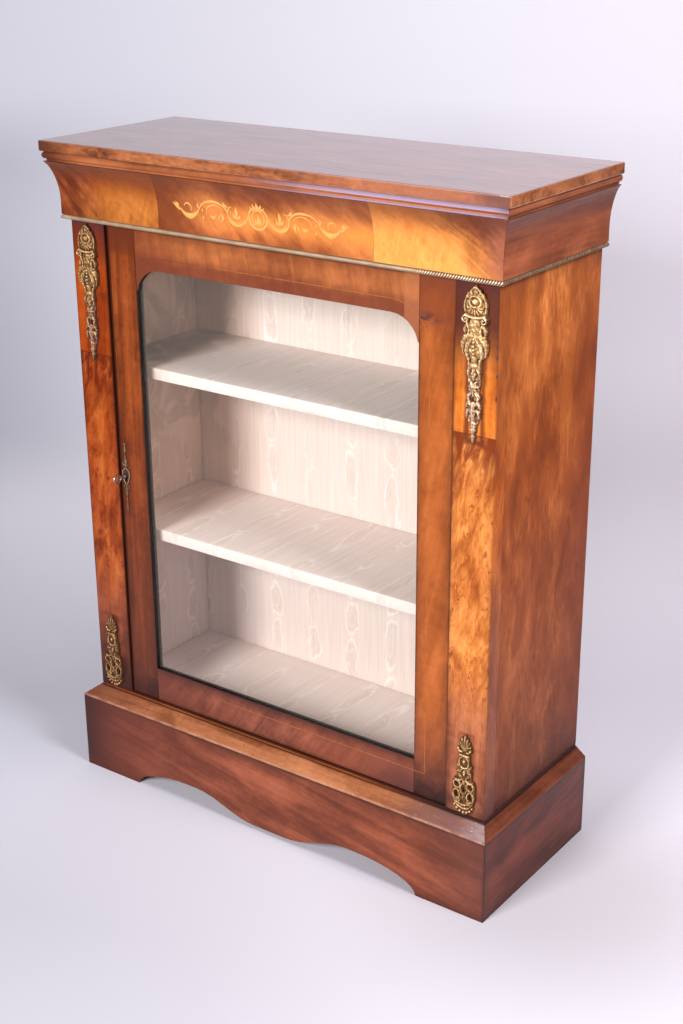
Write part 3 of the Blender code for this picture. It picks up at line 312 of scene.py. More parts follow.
def edge_shade(mix, colour, node, axes, width, tone=OLD_POLISH, strength=0.7):
    """Old polish and dirt along a board's edges: a dark line, and a wide faint one."""
    low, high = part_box(node)
    ragged = mix.cloud(0.02, 3)
    for axis in axes:
        place = mix.axes[axis]
        gap = mix.maths("MINIMUM", place - low[axis], high[axis] - place)
        for wide, deep in ((width, strength), (5 * width, 0.5 * strength)):
            share = gap / (ragged * (2 * wide))
            colour = mix.dye(mix.reach(share, 0.0, 1.0, deep, 0.0), colour, tone)
    return colour


def walnut(node, tones, grain, turn, band, ripple, calm, edges, width, steps, shift, kind="veneer"):
    """A board's own run of walnut veneer, shaded along its edges and aged by its steps."""
    mix = Finish(f"{node}_{kind}")
    value, fine = walnut_figure(mix, grain, turn, band, ripple, shift, calm)
    colour = mix.tones(value, tones)
    if edges:
        colour = edge_shade(mix, colour, node, edges, width)
    coat(node, polish(mix, mix.age(colour, steps), fine))


print("polish over pores", round(PORES[0] / MM, 1), "mm wide")

# %% [markdown]
# ## Burr walnut for the pilasters
# The front stiles are veneered in three lengths: orange straight-grained wood behind the upper
# mounts, burr along the middle and plainer, redder wood at the foot. Burr is cut from a knobbly
# growth, so its figure swirls round small dark eyes. One recipe makes all three and changes over
# at the heights of the seams, with a thin dark line of glue at the upper one. The right stile is
# bright. The left one is dark, with a lighter heart up its middle. The carcase's sides have
# golden feathers over red-brown, and the recipe turns to them where the stile's outer edge
# faces sideways. Chips are missing from the right stile's corner.

# %% Pilaster veneer
SIDE_TONES = ((0.148, 0.028, 0.006), (0.252, 0.053, 0.0105), (0.362, 0.087, 0.018), (0.49, 0.138, 0.031))
ORANGE = ((0.27, 0.056, 0.006), (0.52, 0.125, 0.014), (0.7, 0.195, 0.025), (0.83, 0.28, 0.048))
GOLDEN = ((0.27, 0.056, 0.009), (0.48, 0.136, 0.024), (0.66, 0.222, 0.048), (0.79, 0.31, 0.082))
FOOT_TONES = ((0.15, 0.04, 0.018), (0.3, 0.088, 0.038), (0.43, 0.138, 0.06), (0.53, 0.185, 0.084))
SIDE_SHIFT = (0.9, 0.4, 0.2)
UPPER_SEAM = 0.727
SEAM_HALF = 0.0006
EYE_CELL = 0.011
# dark dirt and glue lines, also used as painted shade in the gaps beside the door
DIRT_AND_SHADE = (0.045, 0.01, 0.004)
SQUIGGLE = (0.24, 0.042, 0.007)
EYE = (0.06, 0.012, 0.004)
BLOT = (0.185, 0.026, 0.005)
HALO = (0.11, 0.018, 0.006)
BARE_WOOD = (0.045, 0.036, 0.042)
FRONT_GOLD = (1.4, 1.38, 0.62)
FRONT_SIDE = (0.94, 0.9, 0.84)
LEFT_DEPTH = (0.5, 0.28, 0.23)
LEFT_HEART = (0.74, 0.56, 0.38)
CHIPS = ((0.87, 0.002), (0.851, 0.0036), (0.837, 0.003), (0.812, 0.0026), (0.782, 0.0032))
CHIP_WIDE = 0.0034
# how wide a halo the mounts have, and how strong it is
HALOS = {"upper_mount_left": (0.0065, 0.5), "upper_mount_right": (0.0065, 0.85),
         "lower_mount_left": (0.004, 0.45), "lower_mount_right": (0.004, 0.45), "escutcheon": (0.009, 0.75)}
# each stain: its axis, where it starts, where it is full, its strength, its tone and its way
# The first two rows are painted light: the sides are brighter towards the top, and darker and bluer towards
# the foot, a painted reflection of the floor.
SIDE_LIGHT_AND_STAINS = [
    (Z, 0.66, 0.9, 1.0, (1.4, 1.7, 2.0), "MULTIPLY"),
    (Z, 0.7, 0.1, 1.0, (0.74, 0.86, 1.5), "MULTIPLY"),
    (Y, 0.03, 0.15, 0.5, (0.18, 0.036, 0.016)),
    (Z, 0.27, 0.115, 0.72, (0.06, 0.018, 0.017), "ragged"),
    (Z, 0.89, 0.955, 0.6, (0.12, 0.03, 0.02), "ragged"),
]
HEAD_STAINS = {"left": (Z, 0.845, 0.905, 0.84, (0.12, 0.02, 0.009)),
               "right": (Z, 0.775, 0.88, 0.93, (0.066, 0.014, 0.014))}
FOOT_STAINS = {"left": (Z, 0.34, 0.15, 0.95, (0.03, 0.009, 0.009), "ragged"),
               "right": (Z, 0.25, 0.12, 0.92, (0.055, 0.016, 0.014), "ragged")}
UNDER_BEAD = (Z, 0.905, 0.94, 0.85, (0.07, 0.02, 0.022), "ragged")


def side_colour(mix):
    """Golden feathers, drawn out upwards and gathered in patches, over red-brown."""
    ground = mix.cloud((0.055, 0.055, 0.12), 3, 0.6, shift=SIDE_SHIFT)
    feather = mix.cloud((0.0065, 0.0065, 0.024), 3, 0.8, shift=SIDE_SHIFT)
    gather = mix.reach(mix.cloud((0.03, 0.03, 0.07), 2, 0.5, shift=SIDE_SHIFT), 0.34, 0.66)
    fine = mix.cloud((0.0016, 0.0016, 0.024), 2, 0.3, shift=SIDE_SHIFT)
    value = ground * 0.5 + fine * 0.1 + (feather - 0.4) * gather * 0.38
    colour = mix.tones(mix.reach(value, 0.08, 0.58), SIDE_TONES)
    return mix.age(colour, SIDE_LIGHT_AND_STAINS), fine


def side_veneer(node):
    mix = Finish(node + "_veneer")
    colour, fine = side_colour(mix)
    colour = edge_shade(mix, colour, node, (Z,), 0.006, DIRT_AND_SHADE)
    coat(node, polish(mix, colour, fine, 0.42, 0.02, 0.08))


def burr_figure(mix, shift):
    """The burr's swirls as one value, and the small curls for the polish's bump."""
    swirl = mix.cloud((0.032, 0.032, 0.085), 3, 1.1, turn=(0, 0.2, 0), shift=shift)
    curl = mix.cloud((0.006, 0.006, 0.022), 3, 1.4, turn=(0, 0.2, 0), shift=shift)
    return mix.reach(swirl * 0.7 + curl * 0.3, 0.26, 0.74), curl


def burr_eyes(mix, colour, shift):
    """Dark red squiggles and small eyes, close together in some places and missing in others."""
    curl = mix.cloud((0.0065, 0.0065, 0.012), 2, 0.8, turn=(0, 0.3, 0), shift=shift)
    crowd = mix.reach(mix.cloud((0.026, 0.026, 0.045), 2, shift=shift), 0.38, 0.6, 0.15, 0.75)
    colour = mix.dye(mix.reach(curl, 0.56, 0.68) * crowd, colour, SQUIGGLE)
    eyes = mix.spots((EYE_CELL, EYE_CELL, EYE_CELL * 1.3), 0.05, 0.15, shift)
    return mix.dye(eyes * crowd, colour, EYE)


def mount_halo(mix, colour, node):
    """Polish gathers, dark, round a mount that was never taken off."""
    wide, strength = HALOS[node]
    low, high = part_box(node)
    ragged = mix.cloud((0.01, 0.01, 0.016), 2, 0.6)
    aside = abs(mix.axes[X] - (low.x + high.x) / 2) - 0.32 * (high.x - low.x)
    gap = mix.maths("MAXIMUM", low.z - mix.axes[Z], mix.axes[Z] - high.z)
    gap = mix.maths("MAXIMUM", aside, gap)
    share = mix.reach(gap / (ragged * (2 * wide)), 0.0, 1.0, 1.0, 0.0) * strength
    return mix.dye(share * mix.reach(gap, -0.006, -0.0015, 0.35, 1.0), colour, HALO)


def left_heart(mix, colour, burr, middle):
    """Darkens the left stile but for a ragged heart up its middle, narrow below and wide above."""
    height = mix.axes[Z]
    gap = abs(mix.axes[X] + (burr - 0.5) * 0.01 - middle) / mix.reach(height, 0.57, 0.65, 0.0035, 0.015)
    heart = mix.reach(gap, 0.3, 1.6, 1.0, 0.0) * mix.between(height, 0.33, 0.68, 0.03)
    deep = mix.dye(mix.reach(height, 0.26, 0.48, 0.74, 1.0), colour, LEFT_DEPTH, "MULTIPLY")
    share = heart * mix.reach(height, 0.44, 0.54, 0.85, 0.42)
    return mix.dye(share, deep, mix.tint(colour, LEFT_HEART))


def chip_corner(mix, colour, corner):
    """Small torn chips along the corner, down to dull bare wood."""
    edge = mix.axes[X] + (mix.cloud(0.004) - 0.5) * 0.006
    edge = mix.reach(edge, corner - CHIP_WIDE, corner - 0.6 * CHIP_WIDE)
    for place, half in CHIPS:
        chip = edge * mix.between(mix.axes[Z], place - half, place + half, 0.5 * half)
        colour = mix.dye(chip, colour, BARE_WOOD)
    return colour


def pilaster_veneer(side, shift):
    node = "pilaster_" + side
    mix = Finish(node + "_veneer")
    low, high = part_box(node)
    height = mix.axes[Z]
    plain = walnut_figure(mix, "Z", (0, 0.03, 0), 0.012, 0.08, shift)[0]
    burr, curl = burr_figure(mix, shift)
    middle = burr_eyes(mix, mix.tones(burr, GOLDEN), shift)
    middle = mix.dye(mix.reach(height, 0.27, 0.4), mix.tones(plain, FOOT_TONES), middle)
    blot = mix.reach(mix.cloud((0.012, 0.012, 0.05), 3, 0.7, turn=(0, 0.25, 0), shift=shift), 0.36, 0.62)
    middle = mix.dye(blot * mix.reach(height, 0.61, 0.705, 0.0, 0.92), middle, BLOT)
    seam = UPPER_SEAM - SEAM_HALF, UPPER_SEAM + SEAM_HALF
    colour = mix.dye(mix.reach(height, *seam), middle, mix.tones(plain, ORANGE))
    colour = mix.dye(mix.between(height, *seam, SEAM_HALF) * 0.7, colour, DIRT_AND_SHADE)
    if side == "left":
        colour = left_heart(mix, colour, burr, (low.x + high.x) / 2)
    colour = mix.stain(colour, *HEAD_STAINS[side])
    colour = mount_halo(mix, colour, "upper_mount_" + side)
    colour = mount_halo(mix, colour, "lower_mount_" + side)
    colour = edge_shade(mix, colour, node, (X,), 0.0035, DIRT_AND_SHADE, 0.45)
    colour = mix.age(colour, [FOOT_STAINS[side], UNDER_BEAD])
    if side == "right":
        colour = chip_corner(mix, colour, high.x)
    aside = side_colour(mix)[0]
    aside = mix.dye(mix.between(height, 0.49, 0.71, 0.05), aside, mix.tint(aside, FRONT_GOLD))
    outward = mix.facing[X] * (1 if side == "right" else -1)
    colour = mix.dye(mix.reach(outward, 0.6, 0.8), colour, mix.tint(aside, FRONT_SIDE))
    # The face towards the door is painted nearly black: painted shade in the gap beside the door.
    colour = mix.dye(mix.reach(outward, -0.8, -0.6, 0.96, 0.0), colour, DIRT_AND_SHADE)
    coat(node, polish(mix, colour, curl))


pilaster_veneer("left", (0.3, 0, 0.1))
pilaster_veneer("right", (1.1, 0, 0.4))
for node in ("side_panel_left", "side_panel_right"):
    side_veneer(node)
print("pilasters and sides veneered,", len(CHIPS), "chips")

# %% [markdown]
# ## The door's crossbanding
# The door frame's veneer is laid across each rail and slanting on the hanging stile, so the grain
# runs towards the glass. The lock stile is straight-grained and darker. Each board gets its own
# run of the walnut recipe with its own shift, because no two leaves of veneer are alike. Then it
# is aged: dark ragged feet and edges, dark ends on the left, specks and nicks on the slope at the
# right. Some marks are painted light: shade in the gap beside the lock stile and in the creases
# at the slope's back, a sheen on the moulding's right end, and a grey sheen and a highlight on
# the slope's right end.

# %% Veneer the door and the plain boards
DARK_BROWN = ((0.05, 0.014, 0.006), (0.125, 0.036, 0.013), (0.2, 0.06, 0.02), (0.28, 0.09, 0.03))
LOCK_STILE = ((0.062, 0.013, 0.003), (0.165, 0.033, 0.008), (0.272, 0.058, 0.013), (0.365, 0.088, 0.02))
HANGING_STILE = ((0.165, 0.036, 0.006), (0.295, 0.07, 0.013), (0.415, 0.106, 0.022), (0.51, 0.148, 0.034))
TOP_RAIL = ((0.145, 0.036, 0.013), (0.295, 0.083, 0.027), (0.42, 0.128, 0.041), (0.51, 0.174, 0.06))
BOTTOM_RAIL = ((0.06, 0.014, 0.008), (0.165, 0.044, 0.026), (0.29, 0.086, 0.048), (0.42, 0.135, 0.072))
PLINTH = ((0.048, 0.01, 0.005), (0.14, 0.032, 0.015), (0.27, 0.07, 0.033), (0.39, 0.112, 0.056))
PLINTH_SIDE = ((0.028, 0.005, 0.003), (0.084, 0.015, 0.007), (0.158, 0.029, 0.014), (0.225, 0.046, 0.021))
SLOPE = ((0.078, 0.022, 0.01), (0.205, 0.066, 0.027), (0.335, 0.12, 0.052), (0.465, 0.183, 0.083))
SLOPE_SIDE = ((0.044, 0.011, 0.006), (0.107, 0.027, 0.013), (0.169, 0.045, 0.023), (0.225, 0.064, 0.034))
MOULDING = ((0.12, 0.032, 0.012), (0.28, 0.082, 0.03), (0.4, 0.128, 0.05), (0.51, 0.18, 0.074))
SIDE_MOULDING = ((0.085, 0.022, 0.012), (0.2, 0.056, 0.026), (0.3, 0.09, 0.04), (0.39, 0.13, 0.058))
COVE_SIDE = ((0.1, 0.025, 0.012), (0.215, 0.056, 0.026), (0.325, 0.09, 0.04), (0.44, 0.128, 0.056))
WINDOW_HALF = 0.252
WINDOW_FOOT = 0.208
WINDOW_TOP = 0.8735
WINDOW_SOFT = 0.0002
RIM_BLACK = (0.004, 0.003, 0.003)
# painted shade for the creases at the slope's back
CREASE_SHADE = (0.02, 0.006, 0.004)
STILE_SEAM = 0.872
CARCASE_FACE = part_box("pilaster_right")[0].y
CARCASE_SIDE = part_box("side_panel_right")[1].x
lock_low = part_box("door_stile_left")[0]
hanging_low, hanging_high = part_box("door_stile_right")
rail_low, rail_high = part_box("door_rail_bottom")
slope_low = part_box("plinth_moulding_front")[0]


def window_rim(mix, colour):
    """The edge of the window's opening is stained black, to frame the silk."""
    inside = mix.between(mix.axes[X], -WINDOW_HALF, WINDOW_HALF, WINDOW_SOFT)
    inside = inside * mix.between(mix.axes[Z], WINDOW_FOOT, WINDOW_TOP, WINDOW_SOFT)
    edge = mix.reach(abs(mix.facing[Y]), 0.3, 0.7, 1.0, 0.0)
    return mix.dye(inside * edge, colour, RIM_BLACK)


def key_halo(mix, colour):
    return mount_halo(mix, colour, "escutcheon")


def torn_stain(mix, colour):
    """A torn, dark stain across the hanging stile's head, fading to the right."""
    torn = mix.reach(mix.cloud((0.014, 0.014, 0.009), 3, 0.8), 0.36, 0.56)
    torn = torn * mix.between(mix.axes[Z], 0.866, 0.88, 0.005)
    torn = torn * mix.reach(mix.axes[X], hanging_low.x + 0.012, hanging_high.x - 0.004, 0.85, 0.0)
    return mix.dye(torn, colour, (0.075, 0.026, 0.028))


def wet_foot(mix, colour):
    """The bottom rail's foot is darkest at its right end."""
    foot = mix.reach(mix.axes[X], 0.1, rail_high.x, 0.0, 0.8)
    foot = foot * mix.reach(mix.axes[Z], 0.16, 0.205, 1.0, 0.25)
    return mix.dye(foot, colour, (0.075, 0.026, 0.026))


def painted_light_right(mix, colour):
    """Towards its right end the moulding's lower faces are painted redder and lighter, as painted light, and
    its upper faces carry a painted pale sheen.
    """
    spread = mix.reach(mix.axes[X], -0.05, 0.18, 0.0, 0.85)
    colour = mix.dye(mix.reach(mix.facing[Z], -0.55, -0.25, 1.0, 0.0) * spread, colour, (0.8, 0.31, 0.13))
    return mix.dye(mix.reach(mix.facing[Z], -0.3, 0.05) * spread, colour, (0.36, 0.285, 0.41))


def slope_back(mix, colour):
    """Painted shade lies black along the slope's back, in the crease where it meets the side."""
    share = mix.reach(abs(mix.axes[X]), CARCASE_SIDE + 0.0012, CARCASE_SIDE + 0.0035, 0.9, 0.0)
    return mix.dye(share, colour, CREASE_SHADE)


def sheen_and_nicks(mix, colour):
    """The slope's right end has a painted grey sheen, paler near the corner, its front edge a painted
    highlight, and dark specks and pale nicks lie on it.
    """
    ragged = mix.cloud((0.02, 0.006, 0.006), 3)
    grey_sheen = mix.reach(mix.axes[X], 0.2, 0.33) * mix.reach(ragged, 0.3, 0.5, 0.55, 1.0)
    colour = mix.dye(grey_sheen, colour, (0.17, 0.08, 0.07))
    pale_sheen = mix.reach(mix.axes[X], 0.33, 0.39) * mix.reach(ragged, 0.25, 0.6, 0.25, 0.9)
    colour = mix.dye(pale_sheen, colour, (0.3, 0.215, 0.222))
    pale_arris = mix.reach(mix.axes[Y], slope_low.y + 0.0012, slope_low.y + 0.0035, 0.55, 0.0)
    colour = mix.dye(pale_arris * mix.reach(ragged, 0.4, 0.6, 0.3, 1.0), colour, (0.48, 0.25, 0.18))
    colour = mix.dye(mix.spots((0.01, 0.007, 0.007), 0.05, 0.2) * 0.6, colour, (0.075, 0.022, 0.012))
    nick = mix.spots((0.014, 0.008, 0.008), 0.06, 0.16) * mix.reach(mix.cloud(0.05, 1), 0.5, 0.62)
    return mix.dye(nick * grey_sheen, colour, (0.45, 0.36, 0.32))


LOCK_STEPS = [
    (Z, 0.75, lock_low.z, 0.72, (0.07, 0.018, 0.012)),
    (Z, 0.885, 0.9, 0.7, (0.11, 0.022, 0.009)),
    (Z, 0.235, 0.145, 0.9, (0.03, 0.01, 0.009), "ragged"),
    key_halo,
    # painted shade: the lock stile's left edge is darkened as the gap beside the pilaster
    (X, lock_low.x + 0.0042, lock_low.x + 0.003, 0.95, DIRT_AND_SHADE),
    window_rim,
]
HANGING_STEPS = [
    (Z, 0.34, hanging_low.z, 0.75, (0.13, 0.038, 0.026)),
    (Z, 0.235, 0.145, 0.95, (0.022, 0.008, 0.007), "ragged"),
    (Z, 0.895, 0.93, 0.8, (0.09, 0.028, 0.028), "ragged"),
    (Z, 0.835, 0.88, 0.6, (0.17, 0.036, 0.016)),
    (Z, STILE_SEAM - SEAM_HALF, STILE_SEAM + SEAM_HALF, 0.45, (0.2, 0.045, 0.012)),
    torn_stain,
    window_rim,
]
TOP_RAIL_STEPS = [
    (X, -0.12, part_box("door_rail_top")[0].x, 0.52, (0.14, 0.03, 0.012)),
    (Z, 0.906, 0.882, 0.8, (0.14, 0.032, 0.018), "ragged"),
    (Z, 0.92, 0.94, 0.5, (0.17, 0.036, 0.016), "ragged"),
    (X, 0.2268, 0.2282, 0.45, (0.42, 0.15, 0.062)),
    window_rim,
]
BOTTOM_RAIL_STEPS = [
    (X, -0.12, rail_low.x, 0.8, (0.105, 0.026, 0.018)),
    (X, -0.05, rail_high.x, 0.45, (0.33, 0.082, 0.034)),
    (Z, 0.19, 0.212, 0.75, (0.06, 0.016, 0.012), "ragged"),
    wet_foot,
    window_rim,
]
MOULDING_STEPS = [
    (X, -0.05, 0.25, 1.0, (0.8, 0.64, 0.62), "MULTIPLY"),
    (X, -0.33, -0.39, 0.92, (0.085, 0.02, 0.01)),
    painted_light_right,
    (X, 0.375, 0.4, 0.6, (0.11, 0.05, 0.06), "ragged"),
]
# painted shade and sheen: the cove sides are darker and bluer towards their top, under the top's edge
COVE_STEPS = [(Z, 0.975, 1.01, 0.65, (0.105, 0.04, 0.034))]
PLINTH_STEPS = [
    (X, -0.06, -0.36, 0.75, (0.095, 0.02, 0.012)),
    (X, -0.31, -0.395, 0.88, (0.036, 0.01, 0.008)),
    (X, 0.26, 0.39, 0.5, (0.125, 0.044, 0.034)),
    (Z, 0.022, 0.0, 0.55, (0.08, 0.016, 0.008)),
]
SLOPE_STEPS = [
    (X, -0.24, -0.4, 0.85, (0.1, 0.026, 0.014)),
    sheen_and_nicks,
    # painted shade in the crease where the slope meets the carcase's front
    (Y, CARCASE_FACE - 0.004, CARCASE_FACE - 0.0015, 0.85, CREASE_SHADE),
]
# each row: node, tones, grain, turn, band, ripple, calm, axes with dark edges, their width, steps.
# A node that ends with _ is laid on both sides.
BOARDS = [
    ("door_stile_left", LOCK_STILE, "Z", (0, 0.02, 0), 0.01, 0.04, 0.06, (X, Z), 0.004, LOCK_STEPS),
    ("door_stile_right", HANGING_STILE, "Z", (0, 0.22, 0), 0.022, 0.05, 0.14, (X, Z), 0.004, HANGING_STEPS),
    ("door_rail_top", TOP_RAIL, "Z", (0, -0.2, 0), 0.016, 0.09, 0.14, (Z,), 0.005, TOP_RAIL_STEPS),
    ("door_rail_bottom", BOTTOM_RAIL, "Z", (0, 0.6, 0), 0.02, 0.07, 0.15, (Z,), 0.006, BOTTOM_RAIL_STEPS),
    ("frieze_rail", MOULDING, "X", UNTURNED, 0.012, 0.05, 0.0, (), 0, ()),
    ("door_stop", DARK_BROWN, "Z", UNTURNED, 0.01, 0.05, 0.0, (), 0, ()),
    ("top_moulding_front", MOULDING, "X", UNTURNED, 0.008, 0.04, 0.1, (), 0, MOULDING_STEPS),
    ("top_moulding_", SIDE_MOULDING, "Y", UNTURNED, 0.008, 0.04, 0.1, (), 0, ()),
    ("frieze_cove_", COVE_SIDE, "Y", UNTURNED, 0.018, 0.05, 0.1, (), 0, COVE_STEPS),
    ("plinth_front", PLINTH, "X", (0, 0.16, 0), 0.018, 0.0, 0.19, (X, Z), 0.006, PLINTH_STEPS),
    ("plinth_left", PLINTH_SIDE, "Y", UNTURNED, 0.014, 0.0, 0.14, (Y, Z), 0.006, ()),
    ("plinth_right", PLINTH_SIDE, "Y", (0.1, 0, 0), 0.034, 0.0, 0.16, (Y, Z), 0.006, ()),
    ("plinth_moulding_front", SLOPE, "X", UNTURNED, 0.014, 0.03, 0.04, (), 0, SLOPE_STEPS),
    ("plinth_moulding_", SLOPE_SIDE, "Y", UNTURNED, 0.008, 0.04, 0.08, (), 0, [slope_back]),
]
SHIFT_STEP = np.array((0.37, 0.21, 0.53))
laid = 0
for node, *recipe in BOARDS:
    for side in ("left", "right") if node.endswith("_") else ("",):
        walnut(node + side, *recipe, tuple(SHIFT_STEP * laid))
        laid += 1
print(laid, "boards veneered")

# %% [markdown]
# ## The frieze
# The cove over the door is veneered in five parts: a red-brown middle panel that carries the
# marquetry, a burr panel to each side, golden on the right and browner on the left, and dark
# ends at the corners. All five are one solid, so the recipe changes over along the length, again
# with a hair of dark glue between.

# %% Frieze veneer
PANEL_HALF = 0.188
FRIEZE_MIDDLE = ((0.12, 0.027, 0.009), (0.29, 0.074, 0.022), (0.45, 0.132, 0.038), (0.6, 0.2, 0.058))
FRIEZE_END = ((0.06, 0.012, 0.005), (0.15, 0.032, 0.01), (0.26, 0.062, 0.02), (0.36, 0.095, 0.035))
FRIEZE_LEFT = ((0.18, 0.04, 0.008), (0.34, 0.098, 0.018), (0.48, 0.16, 0.031), (0.6, 0.23, 0.048))
FRIEZE_RIGHT = ((0.53, 0.152, 0.027), (0.77, 0.268, 0.056), (0.9, 0.34, 0.08), (0.95, 0.4, 0.108))
GLOW = (0.74, 0.245, 0.05)


def frieze_veneer():
    mix = Finish("frieze_veneer")
    along, height = mix.axes[X], mix.axes[Z]
    middle, fine = walnut_figure(mix, "Z", (0, -0.75, 0), 0.03, 0.05, (0.2, 0, 0.7))
    end = walnut_figure(mix, "Z", (0, -0.65, 0), 0.016, 0.05, (1.9, 0, 0.2))[0]
    streak = walnut_figure(mix, "Z", (0, -0.95, 0), 0.014, 0.05, (0.9, 0, 1.4))[0]
    gold = burr_figure(mix, (0.6, 0.1, 0.2))[0] * 0.62 + streak * 0.38
    colour = mix.tones(middle, FRIEZE_MIDDLE)
    glow = mix.between(height, 0.956, 0.984, 0.014) * mix.reach(along, -0.13, -0.02)
    colour = mix.dye(glow * mix.reach(streak, 0.25, 0.7, 0.45, 0.95), colour, GLOW)
    # The tops of the two burr panels are painted darker, as painted shade under the top's edge.
    right = mix.stain(mix.tones(gold, FRIEZE_RIGHT), Z, 0.966, 1.0, 0.26, (0.42, 0.11, 0.024))
    left = mix.stain(mix.tones(gold, FRIEZE_LEFT), Z, 0.96, 0.998, 0.8, (0.26, 0.056, 0.011))
    seam = PANEL_HALF - SEAM_HALF, PANEL_HALF + SEAM_HALF
    colour = mix.age(colour, [
        (X, -0.09, -PANEL_HALF, 0.85, (0.15, 0.034, 0.012)),
        (X, *seam, 1.0, right),
        (X, -seam[0], -seam[1], 1.0, left)])
    dark = mix.tones(end, FRIEZE_END)
    ragged = abs(along) + (streak - 0.5) * 0.09
    slant = ragged - (0.98 - height) * 1.1
    colour = mix.dye(mix.reach(slant, 0.288, 0.396) * mix.reach(along, -0.01, 0.01), colour, dark)
    colour = mix.dye(mix.reach(ragged, 0.27, 0.345) * mix.reach(along, -0.01, 0.01, 1.0, 0.0), colour, dark)
    colour = mix.dye(mix.between(abs(along), *seam, SEAM_HALF) * 0.4, colour, DIRT_AND_SHADE)
    # painted sheen at the cove's right corner, lighter and greyer
    colour = mix.stain(colour, X, 0.34, 0.385, 0.5, (0.36, 0.125, 0.085))
    # painted shade: the cove's head, under the top's edge, is painted darker
    head = mix.reach(height + (streak - 0.5) * 0.02, 0.984, 1.012, 0.0, 0.66)
    return polish(mix, mix.dye(head, colour, (0.13, 0.032, 0.014)), fine)


coat("frieze_cove_front", frieze_veneer())
print("frieze veneered, middle panel", 2 * PANEL_HALF, "m wide")

# %% [markdown]
# ## The top
# The top is the plainest and darkest board, and the glossiest, so from the photographer's side
# it mostly mirrors the pale room. Its edge is lighter. The recipe tells the face from the edge
# by which way the surface points. Near the front right corner the polish is grey and chipped.

# %% Top veneer
RIM_TONES = ((0.095, 0.024, 0.008), (0.235, 0.069, 0.023), (0.345, 0.11, 0.04), (0.465, 0.16, 0.06))
TOP_TONES = ((0.118, 0.028, 0.013), (0.168, 0.042, 0.019), (0.212, 0.056, 0.025), (0.262, 0.074, 0.034))
WORN_CORNER = (0.4, -0.15)
WORN_FAR = 0.03
PALE_ARRIS_TONE = (0.62, 0.5, 0.46)
CHIPPED = (0.55, 0.46, 0.42)


def top_veneer():
    mix = Finish("top_veneer")
    low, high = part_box("top_board")
    value, fine = walnut_figure(mix, "X", UNTURNED, 0.045, 0.04, (0.1, 0.3, 0))
    rim = mix.tones(walnut_figure(mix, "X", (0, 0, 0.3), 0.006, 0.05, (0.6, 0.1, 0))[0], RIM_TONES)
    rim = mix.stain(rim, X, low.x + 0.09, low.x, 0.92, (0.075, 0.018, 0.009))
    # The edge's front face has a painted sheen, lighter and greyer, over its right half, and is darker and
    # greyer at its right end.
    front = mix.age(rim, [
        (X, 0.0, 0.3, 0.6, (0.44, 0.155, 0.085)),
        (X, 0.3, high.x, 0.85, (0.13, 0.046, 0.042), "ragged")])
    rim = mix.dye(mix.reach(mix.facing[Y], -0.8, -0.5, 1.0, 0.0), rim, front)
    colour = mix.dye(mix.reach(mix.facing[Z], 0.4, 0.9), rim, mix.tones(value, TOP_TONES))
    arris = mix.maths("MAXIMUM", mix.axes[Y] - low.y, high.z - mix.axes[Z])
    # a pale line along the front arris, stronger towards the right
    pale_arris = mix.reach(arris, 0.0004, 0.0014, 1.0, 0.0) * mix.reach(mix.axes[X], -0.32, 0.36, 0.12, 0.55)
    colour = mix.dye(pale_arris, colour, PALE_ARRIS_TONE)
    gap = mix.far(mix.axes[X] - WORN_CORNER[0], mix.axes[Y] - WORN_CORNER[1])
    ragged = mix.reach(mix.cloud((0.012, 0.012, 0.006), 3), 0.4, 0.6)
    worn = mix.reach(gap, 0.0, WORN_FAR, 1.6, 0.0) * ragged
    worn = worn * mix.reach(arris, 0.0006, 0.002, 1.0, 0.0)
    return polish(mix, mix.dye(worn, colour, CHIPPED), fine, 0.34, 1.0, 0.36)


coat("top_board", top_veneer())
print("top veneered")

# %% [markdown]
# ## The plain woods
# The back, the board under the top and the plinth's back are pine that nobody was meant to see:
# pale when it was new, now brown and dusty, with darker growth lines and a few knots. The beads
# behind the glass are stained black to frame the silk. The bottom board's edge is painted dark
# under the door, as painted shade in the gap, orange along the slope, and black towards the right.

# %% Pine, ebonised wood and the bottom board
PINE = ((0.16, 0.08, 0.032), (0.29, 0.16, 0.07), (0.38, 0.225, 0.105), (0.46, 0.29, 0.15))
FOOT_EDGE = ((0.09, 0.018, 0.004), (0.19, 0.042, 0.009), (0.29, 0.074, 0.016), (0.38, 0.11, 0.026))
EBONY = ((0.008, 0.004, 0.003), (0.028, 0.016, 0.012))
KNOT = (0.1, 0.04, 0.014)
DUST = (0.2, 0.15, 0.11)
KNOT_CELL = 0.17
foot_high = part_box("bottom_board")[1]
FOOT_STEPS = [
    # painted shade in the gap under the door: the top of the edge is darkened
    (Z, foot_high.z - 0.0032, foot_high.z - 0.0012, 0.9, (0.026, 0.006, 0.004)),
    (X, 0.18, 0.3, 0.9, (0.022, 0.01, 0.009)),
]


def pine(node, grain):
    mix = Finish(node + "_pine")
    shift = (0.4 * len(node), 0, 0.2)
    value, fine = walnut_figure(mix, grain, UNTURNED, 0.016, 0.03, shift)
    knot = mix.spots((KNOT_CELL, KNOT_CELL, 1.4 * KNOT_CELL), 0.03, 0.07, shift)
    colour = mix.dye(knot * 0.7, mix.tones(value, PINE), KNOT)
    colour = mix.dye(mix.reach(mix.cloud(0.12, 4), 0.4, 0.7, 0.0, 0.35), colour, DUST)
    coat(node, mix.finish(colour, mix.reach(fine, 0.3, 0.7, 0.75, 0.6), fine, 0.4, 0.0004))


def ebonised():
    mix = Finish("ebonised_wood")
    fine = mix.cloud(0.006, 4, 0.5)
    rough = mix.reach(fine, 0.3, 0.7, 0.65, 0.5)
    return mix.finish(mix.tones(fine, EBONY, (0.3, 0.7)), rough, fine, 0.1, 0.0002, Specular_IOR_Level=0.12)


